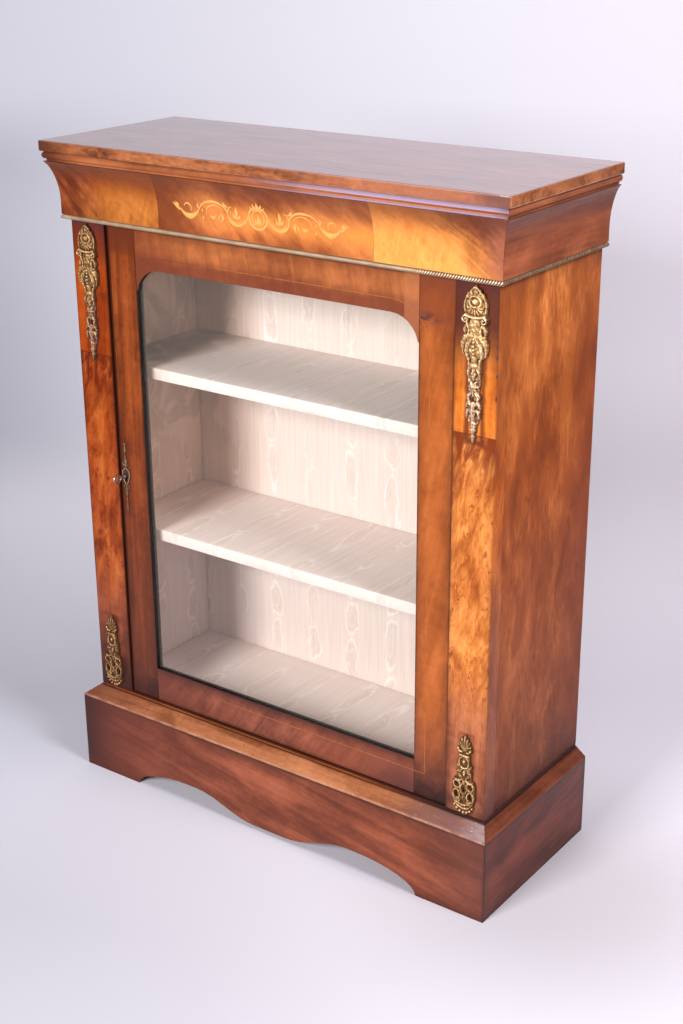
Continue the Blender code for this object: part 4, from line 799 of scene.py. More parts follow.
for node, grain in (("back_panel", "Z"), ("carcase_top", "X"), ("plinth_back", "X")):
    pine(node, grain)
black = ebonised()
for side in ("left", "right", "top", "bottom"):
    coat("glazing_bead_" + side, black)
foot_look = ("X", UNTURNED, 0.01, 0.0, 0.0, (), 0, FOOT_STEPS, (0.7, 0.1, 0.3))
walnut("bottom_board", FOOT_EDGE, *foot_look, "wood")
print("plain woods stained")

# %% [markdown]
# ## Glass, brass and steel
# The pane is thin and clear, so it is a shiny surface that lets most light straight through.
# Old drawn glass is never quite flat, which a very long, soft bump gives. The lock and pivots are
# plain brass with browned polish, and the key and bolt are steel with a grey skin.

# %% Glass and metals
GLASS_TINTS = ((0.8, 0.86, 0.83), (0.86, 0.9, 0.88))
BRASS = ((0.22, 0.13, 0.05), (0.6, 0.44, 0.2))
STEEL = ((0.2, 0.17, 0.16), (0.52, 0.5, 0.49))


def pane_glass():
    mix = Finish("pane_glass")
    wave = mix.cloud((0.12, 0.12, 0.28), 1, 0.6)
    tint = mix.tones(wave, GLASS_TINTS, (0.3, 0.7))
    return mix.finish(tint, 0.03, wave, 0.15, 0.002, Alpha=0.025, IOR=1.5, Specular_IOR_Level=0.2)


def worked_metal(name, tones, rough, size):
    mix = Finish(name)
    stain = mix.cloud(size, 4, 0.8)
    scratch = mix.cloud((0.0004, 0.003, 0.003))
    dull = mix.reach(stain, 0.3, 0.7, rough + 0.18, rough)
    return mix.finish(mix.tones(stain, tones, (0.35, 0.65)), dull, scratch, 0.08, 0.0001, Metallic=1.0)


coat("glass_pane", pane_glass())
brass = worked_metal("lock_brass", BRASS, 0.3, 0.012)
steel = worked_metal("key_steel", STEEL, 0.28, 0.004)
pivots = ["pivot_" + part + end for part in ("pin_", "socket_") for end in ("lower", "upper")]
for node in (*pivots, "lock_case", "keep_plate"):
    coat(node, brass)
for node in ("key", "lock_bolt"):
    coat(node, steel)
print("glass and metals done")

# %% [markdown]
# ## Watered silk
# The inside is lined with thin boards, and each board is wrapped in ribbed silk that has been
# pressed damp between rollers. The pressed ribs slip against each other and show as long nested
# rings, one inside the other, like flattened onions. The rings stand in lanes 80 mm apart, where
# the cloth was folded for the press. So the recipe works out, for every place, how far it is from
# the nearest mark's middle, wobbles that distance a little, and lays a pale ring where it passes
# two steps. Towards the left, damp has left brown tide marks. There, where the inside lies in
# shade, the silk is also dyed warmer and darker: partly old damp, partly painted warm shade.

# %% Silk finish
SILK_TONES = ((0.56, 0.44, 0.37), (0.73, 0.61, 0.55), (0.86, 0.79, 0.76))
# painted warm shade, partly old damp, for the silk on the left
SILK_AGE_AND_SHADE = ((0.96, 0.92, 0.98), (0.98, 0.8, 0.68))
SILK_STAIN = (0.3, 0.19, 0.13)
SILK_LANE = 0.0797
SILK_RIB = 0.0011
MARK_WIDE = 0.17
MARK_LONG = 0.47


def watered_silk(name, run, across, first, blob, shift, streaks=0.5, ground=0.43):
    """run is the axis that the silk's length follows. The water marks stand in lanes, side by side
    on the axis across, with one lane's middle at first. blob is the length of one mark."""
    mix = Finish(name)
    length = mix.axes["XYZ".index(run)]

    def woven(long, wide, detail=2.0, warp=0.0):
        return mix.cloud(drawn_out(run, long, wide), detail, warp, shift=shift)

    place = (mix.axes["XYZ".index(across)] - first) / SILK_LANE
    lane = mix.maths("FLOOR", place + 0.5)
    aside = place - lane + (woven(0.03, 0.014, 3, 0.4) - 0.5) * 0.34
    along = length / blob + lane * 0.37 + (woven(0.14, 0.08, 1) - 0.5) * 1.6
    along = mix.maths("FRACT", along) - 0.5
    gap = mix.far(aside / MARK_WIDE, along / MARK_LONG)
    seen = mix.reach(woven(0.1, 0.05), 0.34, 0.58)
    rings = mix.between(gap, 0.84, 0.98, 0.07) + mix.between(gap, 0.4, 0.5, 0.06) * 0.7
    heart = mix.reach(gap, 0.55, 0.9, 1.0, 0.0)
    thread = woven(0.13, 0.0024, 3, 0.4)
    value = ground + rings * seen * 0.26 - heart * seen * 0.13 + (thread - 0.5) * streaks
    # Painted warm shade, partly old damp: towards the left, where the inside lies in shade, the silk is dyed
    # warmer and darker.
    age_and_shade = mix.tones(mix.axes[Z], SILK_AGE_AND_SHADE, (0.3, 0.5))
    colour = mix.tones(value, SILK_TONES, (0.1, 0.45, 0.85))
    colour = mix.stain(colour, X, -0.18, -0.33, 1.0, age_and_shade, "MULTIPLY")
    damp = mix.cloud((0.075, 0.075, 0.095), 3, 0.7, shift=shift)
    left = mix.reach(mix.axes[X], -0.33, -0.18, 1.0, 0.0)
    tide = left * (mix.reach(damp, 0.44, 0.54) * mix.reach(mix.axes[Z], 0.45, 0.6))
    colour = mix.dye(mix.maths("MULTIPLY", tide, 0.4, True), colour, SILK_STAIN)
    if run == "Y":
        wet = mix.reach(mix.axes[X], -0.3, -0.215, 1.0, 0.0) * mix.reach(mix.axes[Z], 0.6, 0.65)
        wet = wet * mix.reach(damp, 0.34, 0.5, 0.35, 1.0)
        colour = mix.dye(wet * 0.6, colour, SILK_STAIN)
    bump = mix.maths("SINE", length * (2 * math.pi / SILK_RIB)) * 0.25 + value
    return mix.finish(colour, mix.reach(value, 0.2, 0.8, 0.62, 0.46), bump, 0.1, 0.0004,
                      Specular_IOR_Level=0.2, Sheen_Weight=0.08, Sheen_Roughness=0.4)


silks = {
    "back": watered_silk("back_silk", "Z", "X", 0.042, 0.088, (0.1, 0.0, 0.3)),
    "side": watered_silk("side_silk", "Z", "Y", 0.01, 0.07, (0.6, 0.2, 0.1)),
    "flat": watered_silk("shelf_silk", "Y", "X", 0.015, 0.17, (0.3, 0.9, 0.0), 0.62, 0.5),
}
print(len(silks), "silks woven")

# %% [markdown]
# ## Wrapped boards
# Silk drawn round a board softens every edge and never lies dead flat: it pulls in a little
# between the places where it is glued. Each lining board and shelf is built as a fine grid in
# its joinery solid's own box, with rounded edges, and is then let sink by a fraction of a
# millimetre, never rise, so that it keeps clear of its neighbours.

# %% Build the silk-covered boards
WRAP_SPACING = 0.011
WRAP_ROUND = 0.0012
WRAP_SINK = 0.0004
SINK_SPAN = 0.06
WRAP_EASE = 1 - np.array((1.0, 0.92, 0.71, 0.38))


def smooth_piece(mesh, body, material, sharp=None):
    """Puts a mesh in the scene, riding on a body. It is smooth but for edges over sharp degrees."""
    mesh.shade_smooth()
    if sharp:
        mesh.set_sharp_from_angle(angle=math.radians(sharp))
    mesh.materials.append(material)
    piece = put(mesh.name, mesh)
    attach(piece, body)
    return piece


def mesh_piece(name, points, faces, body, material, sharp=40):
    """A new piece from points in metres and faces."""
    mesh = bpy.data.meshes.new(name)
    mesh.from_pydata([tuple(point) for point in points], [], faces)
    mesh.validate()
    return smooth_piece(mesh, body, material, sharp)


def bmesh_piece(name, form, body, material, sharp=None):
    """A new piece from an edited form."""
    mesh = bpy.data.meshes.new(name)
    form.to_mesh(mesh)
    form.free()
    return smooth_piece(mesh, body, material, sharp)


def store(piece, name, values):
    """Keeps one number on each of the piece's points, for its recipe to read."""
    piece.data.attributes.new(name, "FLOAT", "POINT").data.foreach_set("value", values)


def grid_steps(low, high, round_off, spacing):
    """Places along one side: close together over the rounded ends, evenly between."""
    reach = min(round_off, (high - low) / 2.2)
    count = max(1, round((high - low - 2 * reach) / spacing))
    inner = np.linspace(low + reach, high - reach, count + 1)
    ease = reach * WRAP_EASE
    return np.concatenate([low + ease, inner, high - ease[::-1]]), reach


def wrapped_board(node, material):
    """A box with soft edges and a slightly sunken skin, in the node's own box."""
    name = "silk_" + node
    low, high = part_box(node)
    sides = [grid_steps(low[axis], high[axis], WRAP_ROUND, WRAP_SPACING) for axis in range(3)]
    soft = min(side[1] for side in sides)
    cloth = bmesh.new()
    found = {}

    def corner(place):
        key = tuple(round(value, 7) for value in place)
        if key not in found:
            point = Vector(place)
            core = Vector([min(max(point[a], low[a] + soft), high[a] - soft) for a in range(3)])
            out = point - core
            if out.length > 0:
                point = core + out.normalized() * min(soft, max(abs(value) for value in out))
            found[key] = cloth.verts.new(point)
        return found[key]

    for axis in range(3):
        across, along = [other for other in range(3) if other != axis]
        for level in (low[axis], high[axis]):
            for a0, a1 in zip(sides[across][0], sides[across][0][1:]):
                for b0, b1 in zip(sides[along][0], sides[along][0][1:]):
                    ring = []
                    for a, b in ((a0, b0), (a1, b0), (a1, b1), (a0, b1)):
                        place = [0.0, 0.0, 0.0]
                        place[axis], place[across], place[along] = level, a, b
                        ring.append(corner(place))
                    if len(set(ring)) == 4:
                        cloth.faces.new(ring)
    bmesh.ops.recalc_face_normals(cloth, faces=cloth.faces)
    middle = (low + high) / 2
    for point in cloth.verts:
        sunk = WRAP_SINK * (0.5 + 0.5 * noise.noise(point.co / SINK_SPAN + Vector((len(name), 0, 0))))
        for a in range(3):
            inward = min(sunk, 0.2 * (high[a] - low[a]))
            if abs(point.co[a] - middle[a]) > (high[a] - low[a]) / 2 - soft:
                point.co[a] -= math.copysign(inward, point.co[a] - middle[a])
    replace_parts(bmesh_piece(name, cloth, "cabinet", material), node)


wraps = [("lining_back", "back"), ("lining_left", "side"), ("lining_right", "side"),
         ("lining_floor", "flat"), ("shelf_lower", "flat"), ("shelf_upper", "flat")]
wraps += [(f"bearer_{level}_{side}", "side") for level in ("lower", "upper") for side in ("left", "right")]
for node, silk in wraps:
    wrapped_board(node, silks[silk])
print(len(wraps), "boards wrapped in silk")

# %% [markdown]
# ## Gilt bronze
# The mounts are cast bronze that was gilded, then rubbed by two lifetimes of dusters: the high
# places are bright, and brown dirt stays in the hollows. The modelled height is stored on each
# point as a number called relief, and the recipe blends from patina to gold by it.

# %% Gilt finish
GILT_TONES = ((0.105, 0.046, 0.018), (0.31, 0.16, 0.058), (0.56, 0.345, 0.145), (0.86, 0.67, 0.43))
BEAD_TONES = ((0.06, 0.028, 0.014), (0.23, 0.125, 0.065), (0.48, 0.32, 0.19), (0.82, 0.66, 0.48))
SILVERY = (Z, 0.84, 0.78, 1.0, (0.96, 0.98, 1.32), "MULTIPLY")


def gilt_bronze(name, brightness, metal=0.55, tones=GILT_TONES, steps=()):
    mix = Finish(name)
    value = mix.stored("relief") + (mix.cloud(0.01, 3, 0.6) - 0.5) * 0.7 + brightness
    colour = mix.age(mix.tones(value, tones, (0.1, 0.34, 0.62, 0.95)), steps)
    rough = mix.reach(value, 0.2, 0.8, 0.62, 0.42)
    return mix.finish(colour, rough, mix.cloud(0.0016), 0.25, 0.0003, Metallic=metal)


gilts = {
    "upper_mount_left": gilt_bronze("gilt_upper_left", -0.2, steps=[SILVERY]),
    "upper_mount_right": gilt_bronze("gilt_upper_right", 0.08, steps=[SILVERY]),
    "lower_mount_left": gilt_bronze("gilt_lower_left", -0.42),
    "lower_mount_right": gilt_bronze("gilt_lower_right", -0.24),
    "escutcheon": gilt_bronze("dull_gilt", -0.4, 0.4, BEAD_TONES),
}
bead_gilt = gilt_bronze("bead_gilt", -0.06, 0.4, BEAD_TONES)
side_bead_gilt = gilt_bronze("side_bead_gilt", -0.4, 0.3, BEAD_TONES)
print(len(gilts) + 2, "gilts mixed")

# %% [markdown]
# ## Modelling a mount in wax
# A founder's model is built up from a few kinds of form: leaves, ribs, rings, bosses, shells and
# curled volutes. Here the wax is a fine sheet of heights. Each form is pressed up from it, and
# where two forms meet the higher one shows, as in real relief. A mount is symmetrical, so every
# form is pressed twice, once mirrored. Where nothing is pressed there is a hole in the casting.
# Places are in millimetres: across from the middle line, and down from the top.

# %% The wax sheet and its forms
WAX_PITCH = 0.45
TRACK_POINTS = 44
GROUND_INSET = 0.94
THINNEST = 0.6


def smooth_track(path, count=TRACK_POINTS):
    """A smooth line through a few points."""
    ends = [2 * np.array(path[0]) - np.array(path[1]), 2 * np.array(path[-1]) - np.array(path[-2])]
    knots = np.array([ends[0], *path, ends[1]], float)
    pieces = len(path) - 1
    track = []
    for step in np.linspace(0, pieces, count):
        at = min(int(step), pieces - 1)
        t = step - at
        a, b, c, d = knots[at:at + 4]
        bend = (2 * a - 5 * b + 4 * c - d) * t ** 2
        track.append(0.5 * (2 * b + (c - a) * t + bend + (3 * b - a - 3 * c + d) * t ** 3))
    return np.array(track)


class Wax:
    """A sheet of heights in millimetres, with forms pressed up from it."""

    def __init__(self, wide, tall, ground=2.4, pitch=WAX_PITCH):
        self.ground = ground
        half = round(wide / 2 / pitch)
        across = np.arange(-half, half + 1) * pitch
        self.across, self.down = np.meshgrid(across, np.arange(0, tall + pitch / 2, pitch))
        self.height = np.zeros_like(self.across)

    def ground_plate(self, outline, wide, tall, rise):
        """The thin ground between the forms, cut to the mount's outline, which runs from the foot up."""
        half = np.interp(1 - self.down / tall, *zip(*outline)) * wide / 2
        self.press(rise, np.abs(self.across) < GROUND_INSET * half)

    def out_from(self, middle, radii):
        """How far each place is from a middle, as a share of the radii."""
        return np.hypot((self.across - middle[0]) / radii[0], (self.down - middle[1]) / radii[1])

    def pierce(self, middle, radii):
        """A hole through the casting, and its twin."""
        for way in (1, -1):
            self.height[self.out_from((way * middle[0], middle[1]), radii) < 1] = 0.0

    def lump(self, size, rise):
        """Uneven casting: soft lumps of a size, up and down by rise."""
        places = zip(self.across.flat, self.down.flat)
        bumps = [noise.noise(Vector((x / size, y / size, 0.5))) for x, y in places]
        uneven = self.height + rise * np.reshape(bumps, self.height.shape)
        self.height = np.where(self.height > 0, np.maximum(uneven, THINNEST), 0.0)

    def press(self, rise, inside):
        form = np.where(inside, self.ground + rise, 0.0)
        self.height = np.maximum(self.height, np.maximum(form, form[:, ::-1]))

    def dome(self, gap, half, rise):
        """A round form wherever the gap is less than half."""
        self.press(rise * np.sqrt(1 - np.clip(gap / half, 0, 1) ** 2), gap < half)

    def along(self, path):
        """For each place on the sheet: how far from the track, and how far along it."""
        track = smooth_track(path)
        gap = np.hypot(self.across[..., None] - track[:, 0], self.down[..., None] - track[:, 1])
        return gap.min(-1), gap.argmin(-1) / (len(track) - 1)

    def leaf(self, path, half, rise, lobes=3):
        """A leaf from its root to its tip, with a raised rib, slanting veins and a lobed edge."""
        gap, t = self.along(path)
        width = half * np.sin(np.pi * np.clip(0.12 + 0.88 * t, 0, 1) ** 0.8) ** 0.7
        width = width * (1 - 0.28 * np.abs(np.sin(np.pi * lobes * t)) ** 2) + 0.05
        q = np.clip(gap / width, 0, 1)
        dome = np.sqrt(1 - q ** 2) * (0.55 + 0.45 * np.sin(np.pi * np.clip(0.2 + 0.8 * t, 0, 1)))
        vein = 0.16 * np.sin(2 * np.pi * (2 * lobes * t - 0.9 * q)) * q
        rib = 0.22 * np.exp(-(q / 0.16) ** 2) - 0.16 * np.exp(-((q - 0.3) / 0.12) ** 2)
        self.press(rise * np.clip(dome + vein + rib, 0, None), gap < width)

    def rib(self, path, half, rise, taper=0.5):
        """A round rib that thins towards its end."""
        gap, t = self.along(path)
        self.dome(gap, half * (1 - taper * t), rise)

    def scroll(self, path, half, rise):
        """A hollow scroll: a trough between two raised edges."""
        gap, t = self.along(path)
        width = half * (1 - 0.45 * t)
        q = np.clip(gap / width, 0, 1)
        self.press(rise * (0.45 + 0.6 * q ** 2) * np.sqrt(1 - q ** 6), gap < width)

    def volute(self, middle, radius, turns, half, rise, start, way):
        """A rib that winds in to a boss."""
        share = np.linspace(0, 1, 9 + round(8 * turns))
        angle = start + way * 2 * np.pi * turns * share
        reach = radius * (1 - 0.72 * share)
        path = [(middle[0] + r * math.cos(a), middle[1] + r * math.sin(a)) for r, a in zip(reach, angle)]
        self.rib(path, half, rise)
        self.boss(middle, (0.36 * radius, 0.36 * radius), 1.15 * rise)

    def ring(self, middle, radii, half, rise):
        self.dome(np.abs(self.out_from(middle, radii) - 1) * min(radii), half, rise)

    def boss(self, middle, radii, rise):
        self.dome(self.out_from(middle, radii), 1, rise)

    def shell(self, middle, radius, spread, flutes, rise):
        """A fluted fan that opens downwards."""
        aside = self.across - middle[0]
        below = self.down - middle[1]
        reach = np.hypot(aside, below) / radius
        angle = np.arctan2(aside, below)
        wave = np.abs(np.cos(flutes * angle * np.pi / (2 * spread)))
        edge = 0.88 + 0.12 * wave
        q = np.clip(reach / edge, 0, 1)
        body = (0.45 + 0.55 * wave) * (0.35 + 0.65 * np.sin(np.pi * np.clip(0.15 + 0.75 * q, 0, 1)))
        self.press(rise * body, (reach < edge) & (np.abs(angle) < spread))

    def soften(self):
        """Rounds the hard creases as fettling and gilding do, twice, and keeps the outline."""
        def around(values):
            padded = np.pad(values, 1, mode="edge")
            return sum(np.roll(padded, (r, c), (0, 1)) for r in (-1, 0, 1) for c in (-1, 0, 1))[1:-1, 1:-1]

        solid = self.height > 0
        for _ in range(2):
            mean = around(self.height) / np.maximum(around(solid.astype(float)), 1)
            self.height = np.where(solid, 0.5 * self.height + 0.5 * mean, 0.0)


# %% [markdown]
# ## From wax to casting
# The sheet becomes a closed metal shell: a front skin at the heights, a flat back, and a wall
# round every edge and hole. Each point also keeps how high it stands over its surroundings,
# which is what the gilt recipe calls relief.

# %% Cast a sheet
def spread_out(values, reach):
    """A plain average over a square of that many cells each way."""
    size = 2 * reach + 1
    sums = np.pad(values, ((reach + 1, reach), (reach + 1, reach)), mode="edge").cumsum(0).cumsum(1)
    inside = sums[size:, size:] - sums[:-size, size:] - sums[size:, :-size] + sums[:-size, :-size]
    return inside / size ** 2


def relief_share(height):
    """From 0 in a hollow to 1 on a crest."""
    solid = (height > 0).astype(float)
    around = spread_out(height, 5) / np.maximum(spread_out(solid, 5), 0.05)
    top = height.max()
    return np.clip(0.42 + 0.75 * (height - around) / (0.25 * top) + 0.25 * (height / top - 0.5), 0, 1)


def mount_size(node):
    """A mount's width and height in millimetres."""
    low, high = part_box(node)
    return (high.x - low.x) / MM, (high.z - low.z) / MM


def cast(name, wax, node, body):
    """Casts the sheet into the node's box and lets it stand for the node."""
    low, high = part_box(node)
    solid = wax.height > 0
    cells = solid[:-1, :-1] & solid[1:, :-1] & solid[:-1, 1:] & solid[1:, 1:]
    rows, columns = solid.shape
    index = np.arange(rows * columns).reshape(rows, columns)
    depth = high.y - low.y
    out = wax.height * min(MM, depth / wax.height.max())
    x = (low.x + high.x) / 2 + wax.across * MM
    z = high.z - wax.down * MM
    front = np.stack([x, high.y - out, z], -1).reshape(-1, 3)
    back = np.stack([x, np.full_like(x, high.y), z], -1).reshape(-1, 3)
    corners = [index[:-1, :-1], index[1:, :-1], index[1:, 1:], index[:-1, 1:]]
    quads = np.stack([corner[cells] for corner in corners], -1)
    faces = [quads, quads[:, ::-1] + rows * columns]
    padded = np.pad(cells, 1)
    for r, c, a, b in ((0, -1, 0, 1), (1, 0, 1, 2), (0, 1, 2, 3), (-1, 0, 3, 0)):
        open_side = cells & ~padded[1 + r:rows + r, 1 + c:columns + c]
        start, end = corners[a][open_side], corners[b][open_side]
        faces.append(np.stack([end, start, start + rows * columns, end + rows * columns], -1))
    faces = np.concatenate(faces)
    used, renumbered = np.unique(faces, return_inverse=True)
    points = np.concatenate([front, back])[used]
    piece = mesh_piece(name, points, renumbered.reshape(faces.shape).tolist(), body, gilts[node])
    relief = np.tile(relief_share(wax.height).ravel(), 2)[used]
    relief[used >= rows * columns] = 0.1
    store(piece, "relief", relief.astype(np.float32))
    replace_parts(piece, node)


# %% [markdown]
# ## The upper mounts
# From the top: a pointed crest, an oval boss in leaf scrolls, a fan, a bright band with a volute
# at each end, a smooth tapering waist, wide wings of acanthus with a string of beads between
# them, a knot, a husk, a flower, an open loop, a cluster of leaves and a spike.

# %% Model the upper mount
UPPER_OUTLINE = [
    (0.0, 0.04), (0.05, 0.15), (0.105, 0.28), (0.147, 0.42), (0.19, 0.55), (0.24, 0.58), (0.288, 0.48),
    (0.33, 0.42), (0.385, 0.51), (0.45, 0.48), (0.498, 0.46), (0.53, 0.56), (0.555, 0.82), (0.58, 0.95),
    (0.612, 1.0), (0.667, 0.92), (0.71, 0.79), (0.744, 0.72), (0.78, 0.86), (0.828, 0.9), (0.877, 0.8),
    (0.92, 0.62), (0.965, 0.3), (1.0, 0.05),
]


def upper_mount_wax():
    wide, tall = mount_size("upper_mount_right")
    wax = Wax(wide, tall)
    wax.ground_plate(UPPER_OUTLINE, wide, tall, 0.9)
    wax.leaf([(0, 16), (0, 0.3)], 4.6, 4.4, 2)
    wax.leaf([(2, 17), (6.5, 11), (7.5, 5)], 2.8, 4.0, 2)
    wax.leaf([(5, 22), (11, 16), (12, 10)], 3.0, 4.0, 2)
    wax.rib([(1, 3), (7.5, 9), (13, 17), (16, 26), (15, 36)], 1.5, 4.6, 0.2)
    wax.boss((0, 26), (14.5, 15), 2.6)
    wax.ring((0, 22), (8.6, 7.2), 1.7, 5.8)
    wax.boss((0, 22), (6.2, 4.8), 6.6)
    wax.leaf([(4, 30), (10, 30), (14.5, 25)], 2.6, 5.0, 2)
    wax.leaf([(3, 13), (9, 15), (13.5, 20)], 2.2, 4.6, 2)
    wax.shell((0, 27), 13.5, math.radians(60), 5, 6.4)
    wax.rib([(0, 42.5), (8, 42), (14, 40)], 2.3, 7.4, 0.1)
    wax.volute((13.2, 45.5), 5.0, 1.25, 2.0, 7.4, math.radians(-110), 1)
    wax.boss((0, 55), (9.5, 16), 6.4)
    wax.boss((0, 67), (7.2, 14), 6.2)
    wax.rib([(11.5, 50), (8.8, 60), (11, 70)], 1.6, 5.6, 0.2)
    wax.leaf([(12, 52), (15.5, 60), (14, 68)], 3.2, 4.8, 2)
    wax.boss((0, 82), (12, 18), 4.0)
    wax.leaf([(5, 66), (12, 70), (17.5, 79), (16.5, 94)], 5.4, 7.4, 3)
    wax.leaf([(3, 70), (9, 78), (11.5, 88), (9, 100)], 4.6, 7.6, 3)
    wax.leaf([(9, 68), (16, 72), (18.6, 84)], 3.6, 6.2, 2)
    for place, radius in ((70, 2.5), (75, 2.5), (80, 2.4), (85, 2.2), (90, 2.0), (94, 1.8)):
        wax.boss((0, place), (radius, radius), 8.6)
    wax.boss((0, 98), (5.0, 6.0), 6.6)
    wax.boss((0, 106), (8.0, 5.0), 6.8)
    wax.rib([(8.6, 98), (8.0, 106), (8.8, 116)], 1.8, 5.0, 0.2)
    wax.leaf([(0, 108), (0, 126)], 5.2, 6.6, 2)
    wax.leaf([(3, 108), (7.8, 114), (8.2, 124)], 3.0, 5.6, 2)
    for step in range(6):
        angle = 2 * math.pi * (step + 0.5) / 6
        wax.leaf([(0, 134), (8.2 * math.sin(angle), 134 - 8.2 * math.cos(angle))], 3.4, 6.4, 1)
    wax.boss((0, 134), (3.4, 3.4), 8.4)
    wax.leaf([(0, 137), (0, 147)], 3.4, 6.6, 1)
    wax.rib([(3, 143), (6.8, 148), (6.4, 154), (2, 159)], 1.9, 5.2, 0.1)
    wax.leaf([(4, 142), (8.4, 147), (8.0, 156)], 2.4, 4.8, 2)
    wax.leaf([(2, 160), (8, 157), (11, 164)], 3.4, 5.8, 2)
    wax.leaf([(2, 166), (8, 168), (9.6, 178)], 3.4, 6.0, 2)
    wax.leaf([(0, 157), (0, 182)], 5.2, 7.0, 2)
    wax.leaf([(0, 176), (0, tall - 0.4)], 5.2, 5.2, 4)
    wax.pierce((0, 151.5), (2.4, 3.0))
    wax.lump(3.4, 1.5)
    wax.soften()
    return wax


# %% [markdown]
# ## The lower mounts
# A pointed palmette on a collar, an oval cartouche, scrolls that reach out to pierced rings, and
# a bright crescent shell with a beaded edge at the foot.

# %% Model the lower mount
LOWER_OUTLINE = [
    (0.0, 0.22), (0.043, 0.58), (0.091, 0.77), (0.146, 0.92), (0.201, 1.0), (0.264, 1.0), (0.319, 0.95),
    (0.382, 0.92), (0.437, 0.88), (0.47, 0.7), (0.5, 0.62), (0.563, 0.6), (0.618, 0.68), (0.66, 0.54),
    (0.71, 0.5), (0.768, 0.44), (0.815, 0.58), (0.87, 0.54), (0.933, 0.38), (0.972, 0.18), (1.0, 0.05),
]


def lower_mount_wax():
    wide, tall = mount_size("lower_mount_right")
    wax = Wax(wide, tall)
    wax.ground_plate(LOWER_OUTLINE, wide, tall, 0.8)
    wax.leaf([(0, 18), (0, 0.3)], 2.8, 5.0, 1)
    for lean, reach in ((20, 21), (42, 18), (66, 14)):
        angle = math.radians(lean)
        wax.leaf([(1.5, 20), (reach * math.sin(angle) * 0.75, 24 - reach * math.cos(angle))], 2.6, 4.6, 1)
    for step in range(-3, 4):
        angle = math.radians(24 * step)
        wax.boss((10.2 * math.sin(angle), 22 - 16 * math.cos(angle)), (1.3, 1.3), 4.8)
    wax.boss((0, 20), (6.0, 8), 5.0)
    wax.rib([(4, 27), (8, 26), (10.4, 22)], 1.9, 5.4, 0.1)
    wax.boss((10.0, 23), (2.4, 2.4), 6.2)
    wax.rib([(-6.8, 32.5), (6.8, 32.5)], 2.1, 6.6, 0.0)
    wax.ring((0, 43.5), (7.8, 9.4), 1.7, 5.8)
    wax.boss((0, 43.5), (6.4, 8.0), 3.4)
    wax.boss((0, 42.5), (3.2, 4.6), 6.6)
    wax.leaf([(6, 50), (10, 51), (12.5, 47)], 2.4, 4.8, 2)
    wax.scroll([(2, 54), (7, 56), (9.4, 62), (4, 69)], 2.6, 5.8)
    wax.leaf([(6, 60), (10.5, 60), (11.2, 68)], 2.6, 5.2, 2)
    wax.boss((0, 61), (3.0, 6.0), 5.6)
    wax.leaf([(3, 72), (10, 75), (17, 72)], 3.0, 6.6, 3)
    wax.ring((11.2, 81), (5.4, 6.4), 1.8, 5.4)
    wax.boss((0, 76), (4.0, 5.0), 5.8)
    wax.rib([(3.5, 80), (5.6, 87), (3, 94)], 1.7, 5.2, 0.1)
    wax.ring((11.6, 98), (5.4, 8.2), 1.8, 5.6)
    wax.scroll([(17, 78), (17.6, 90), (16.6, 102), (11, 110)], 2.0, 6.2)
    wax.volute((9.8, 107), 4.6, 1.2, 1.7, 6.2, math.radians(-60), -1)
    wax.leaf([(0, 92), (0, 106)], 4.0, 5.8, 2)
    wax.leaf([(2, 104), (6, 98), (8, 92)], 2.2, 5.0, 2)
    wax.scroll([(0, 115.5), (8, 113.6), (14, 107)], 4.4, 8.2)
    for place, level, radius in ((0, 125.4, 3.0), (5.6, 124.2, 2.9), (10.6, 120.6, 2.7), (14.4, 115.6, 2.5)):
        wax.boss((place, level), (radius, radius), 5.4)
    wax.pierce((0, 88.5), (2.3, 3.4))
    wax.pierce((11.2, 81), (2.6, 3.4))
    wax.pierce((11.6, 98), (2.8, 4.8))
    wax.lump(3.0, 1.2)
    wax.soften()
    return wax


# %% [markdown]
# ## The escutcheon
# A slim drop round the keyhole: a ball and husk at its head, a small cartouche with the hole in
# its middle, and a long leaf that tapers to nothing.

# %% Model the escutcheon, then cast everything
KEY_DOWN = 56.4
KEY_CLEAR = 3.6


def escutcheon_wax():
    wax = Wax(*mount_size("escutcheon"), 0.5, 0.3)
    wax.boss((0, 4), (3.0, 3.4), 1.0)
    wax.leaf([(0, 7), (0, 22)], 3.4, 0.9, 2)
    wax.boss((0, 24), (2.4, 2.4), 1.1)
    wax.leaf([(0, 25), (0, 46)], 4.4, 1.0, 3)
    wax.leaf([(0, 40), (5, 38), (6.2, 32)], 2.0, 0.8, 1)
    wax.rib([(0, 43), (6.4, 49), (6.8, 58), (3, 68), (0, 71)], 1.5, 1.1, 0.1)
    wax.boss((0, 56), (6.8, 13), 0.7)
    wax.leaf([(0, 72), (5, 74), (6, 80)], 1.9, 0.8, 1)
    wax.leaf([(0, 70), (0, 95)], 3.8, 1.0, 3)
    wax.boss((0, 96), (1.9, 1.9), 1.1)
    wax.leaf([(0, 97), (0, 119.5)], 2.6, 0.9, 3)
    hole = np.hypot(wax.across, wax.down - KEY_DOWN) < KEY_CLEAR
    slot = (np.abs(wax.across) < 1.9) & (wax.down > KEY_DOWN) & (wax.down < KEY_DOWN + 9.0)
    wax.height[hole | slot] = 0.0
    return wax


upper_wax = upper_mount_wax()
lower_wax = lower_mount_wax()
for side in ("left", "right"):
    cast("upper_mount_cast_" + side, upper_wax, "upper_mount_" + side, "cabinet")
    cast("lower_mount_cast_" + side, lower_wax, "lower_mount_" + side, "cabinet")
cast("escutcheon_cast", escutcheon_wax(), "escutcheon", "door")
print("places of wax in each mount", *(int((wax.height > 0).sum()) for wax in (upper_wax, lower_wax)))

# %% [markdown]
# ## The rope bead
# Under the frieze runs a gilt rope moulding: a rod, half sunk in the wood, cut with slanting
# grooves. It is swept as rings of points whose radius dips where a groove winds past. Stretching
# each row of points to the mitre's own length cuts the mitre without any saw.

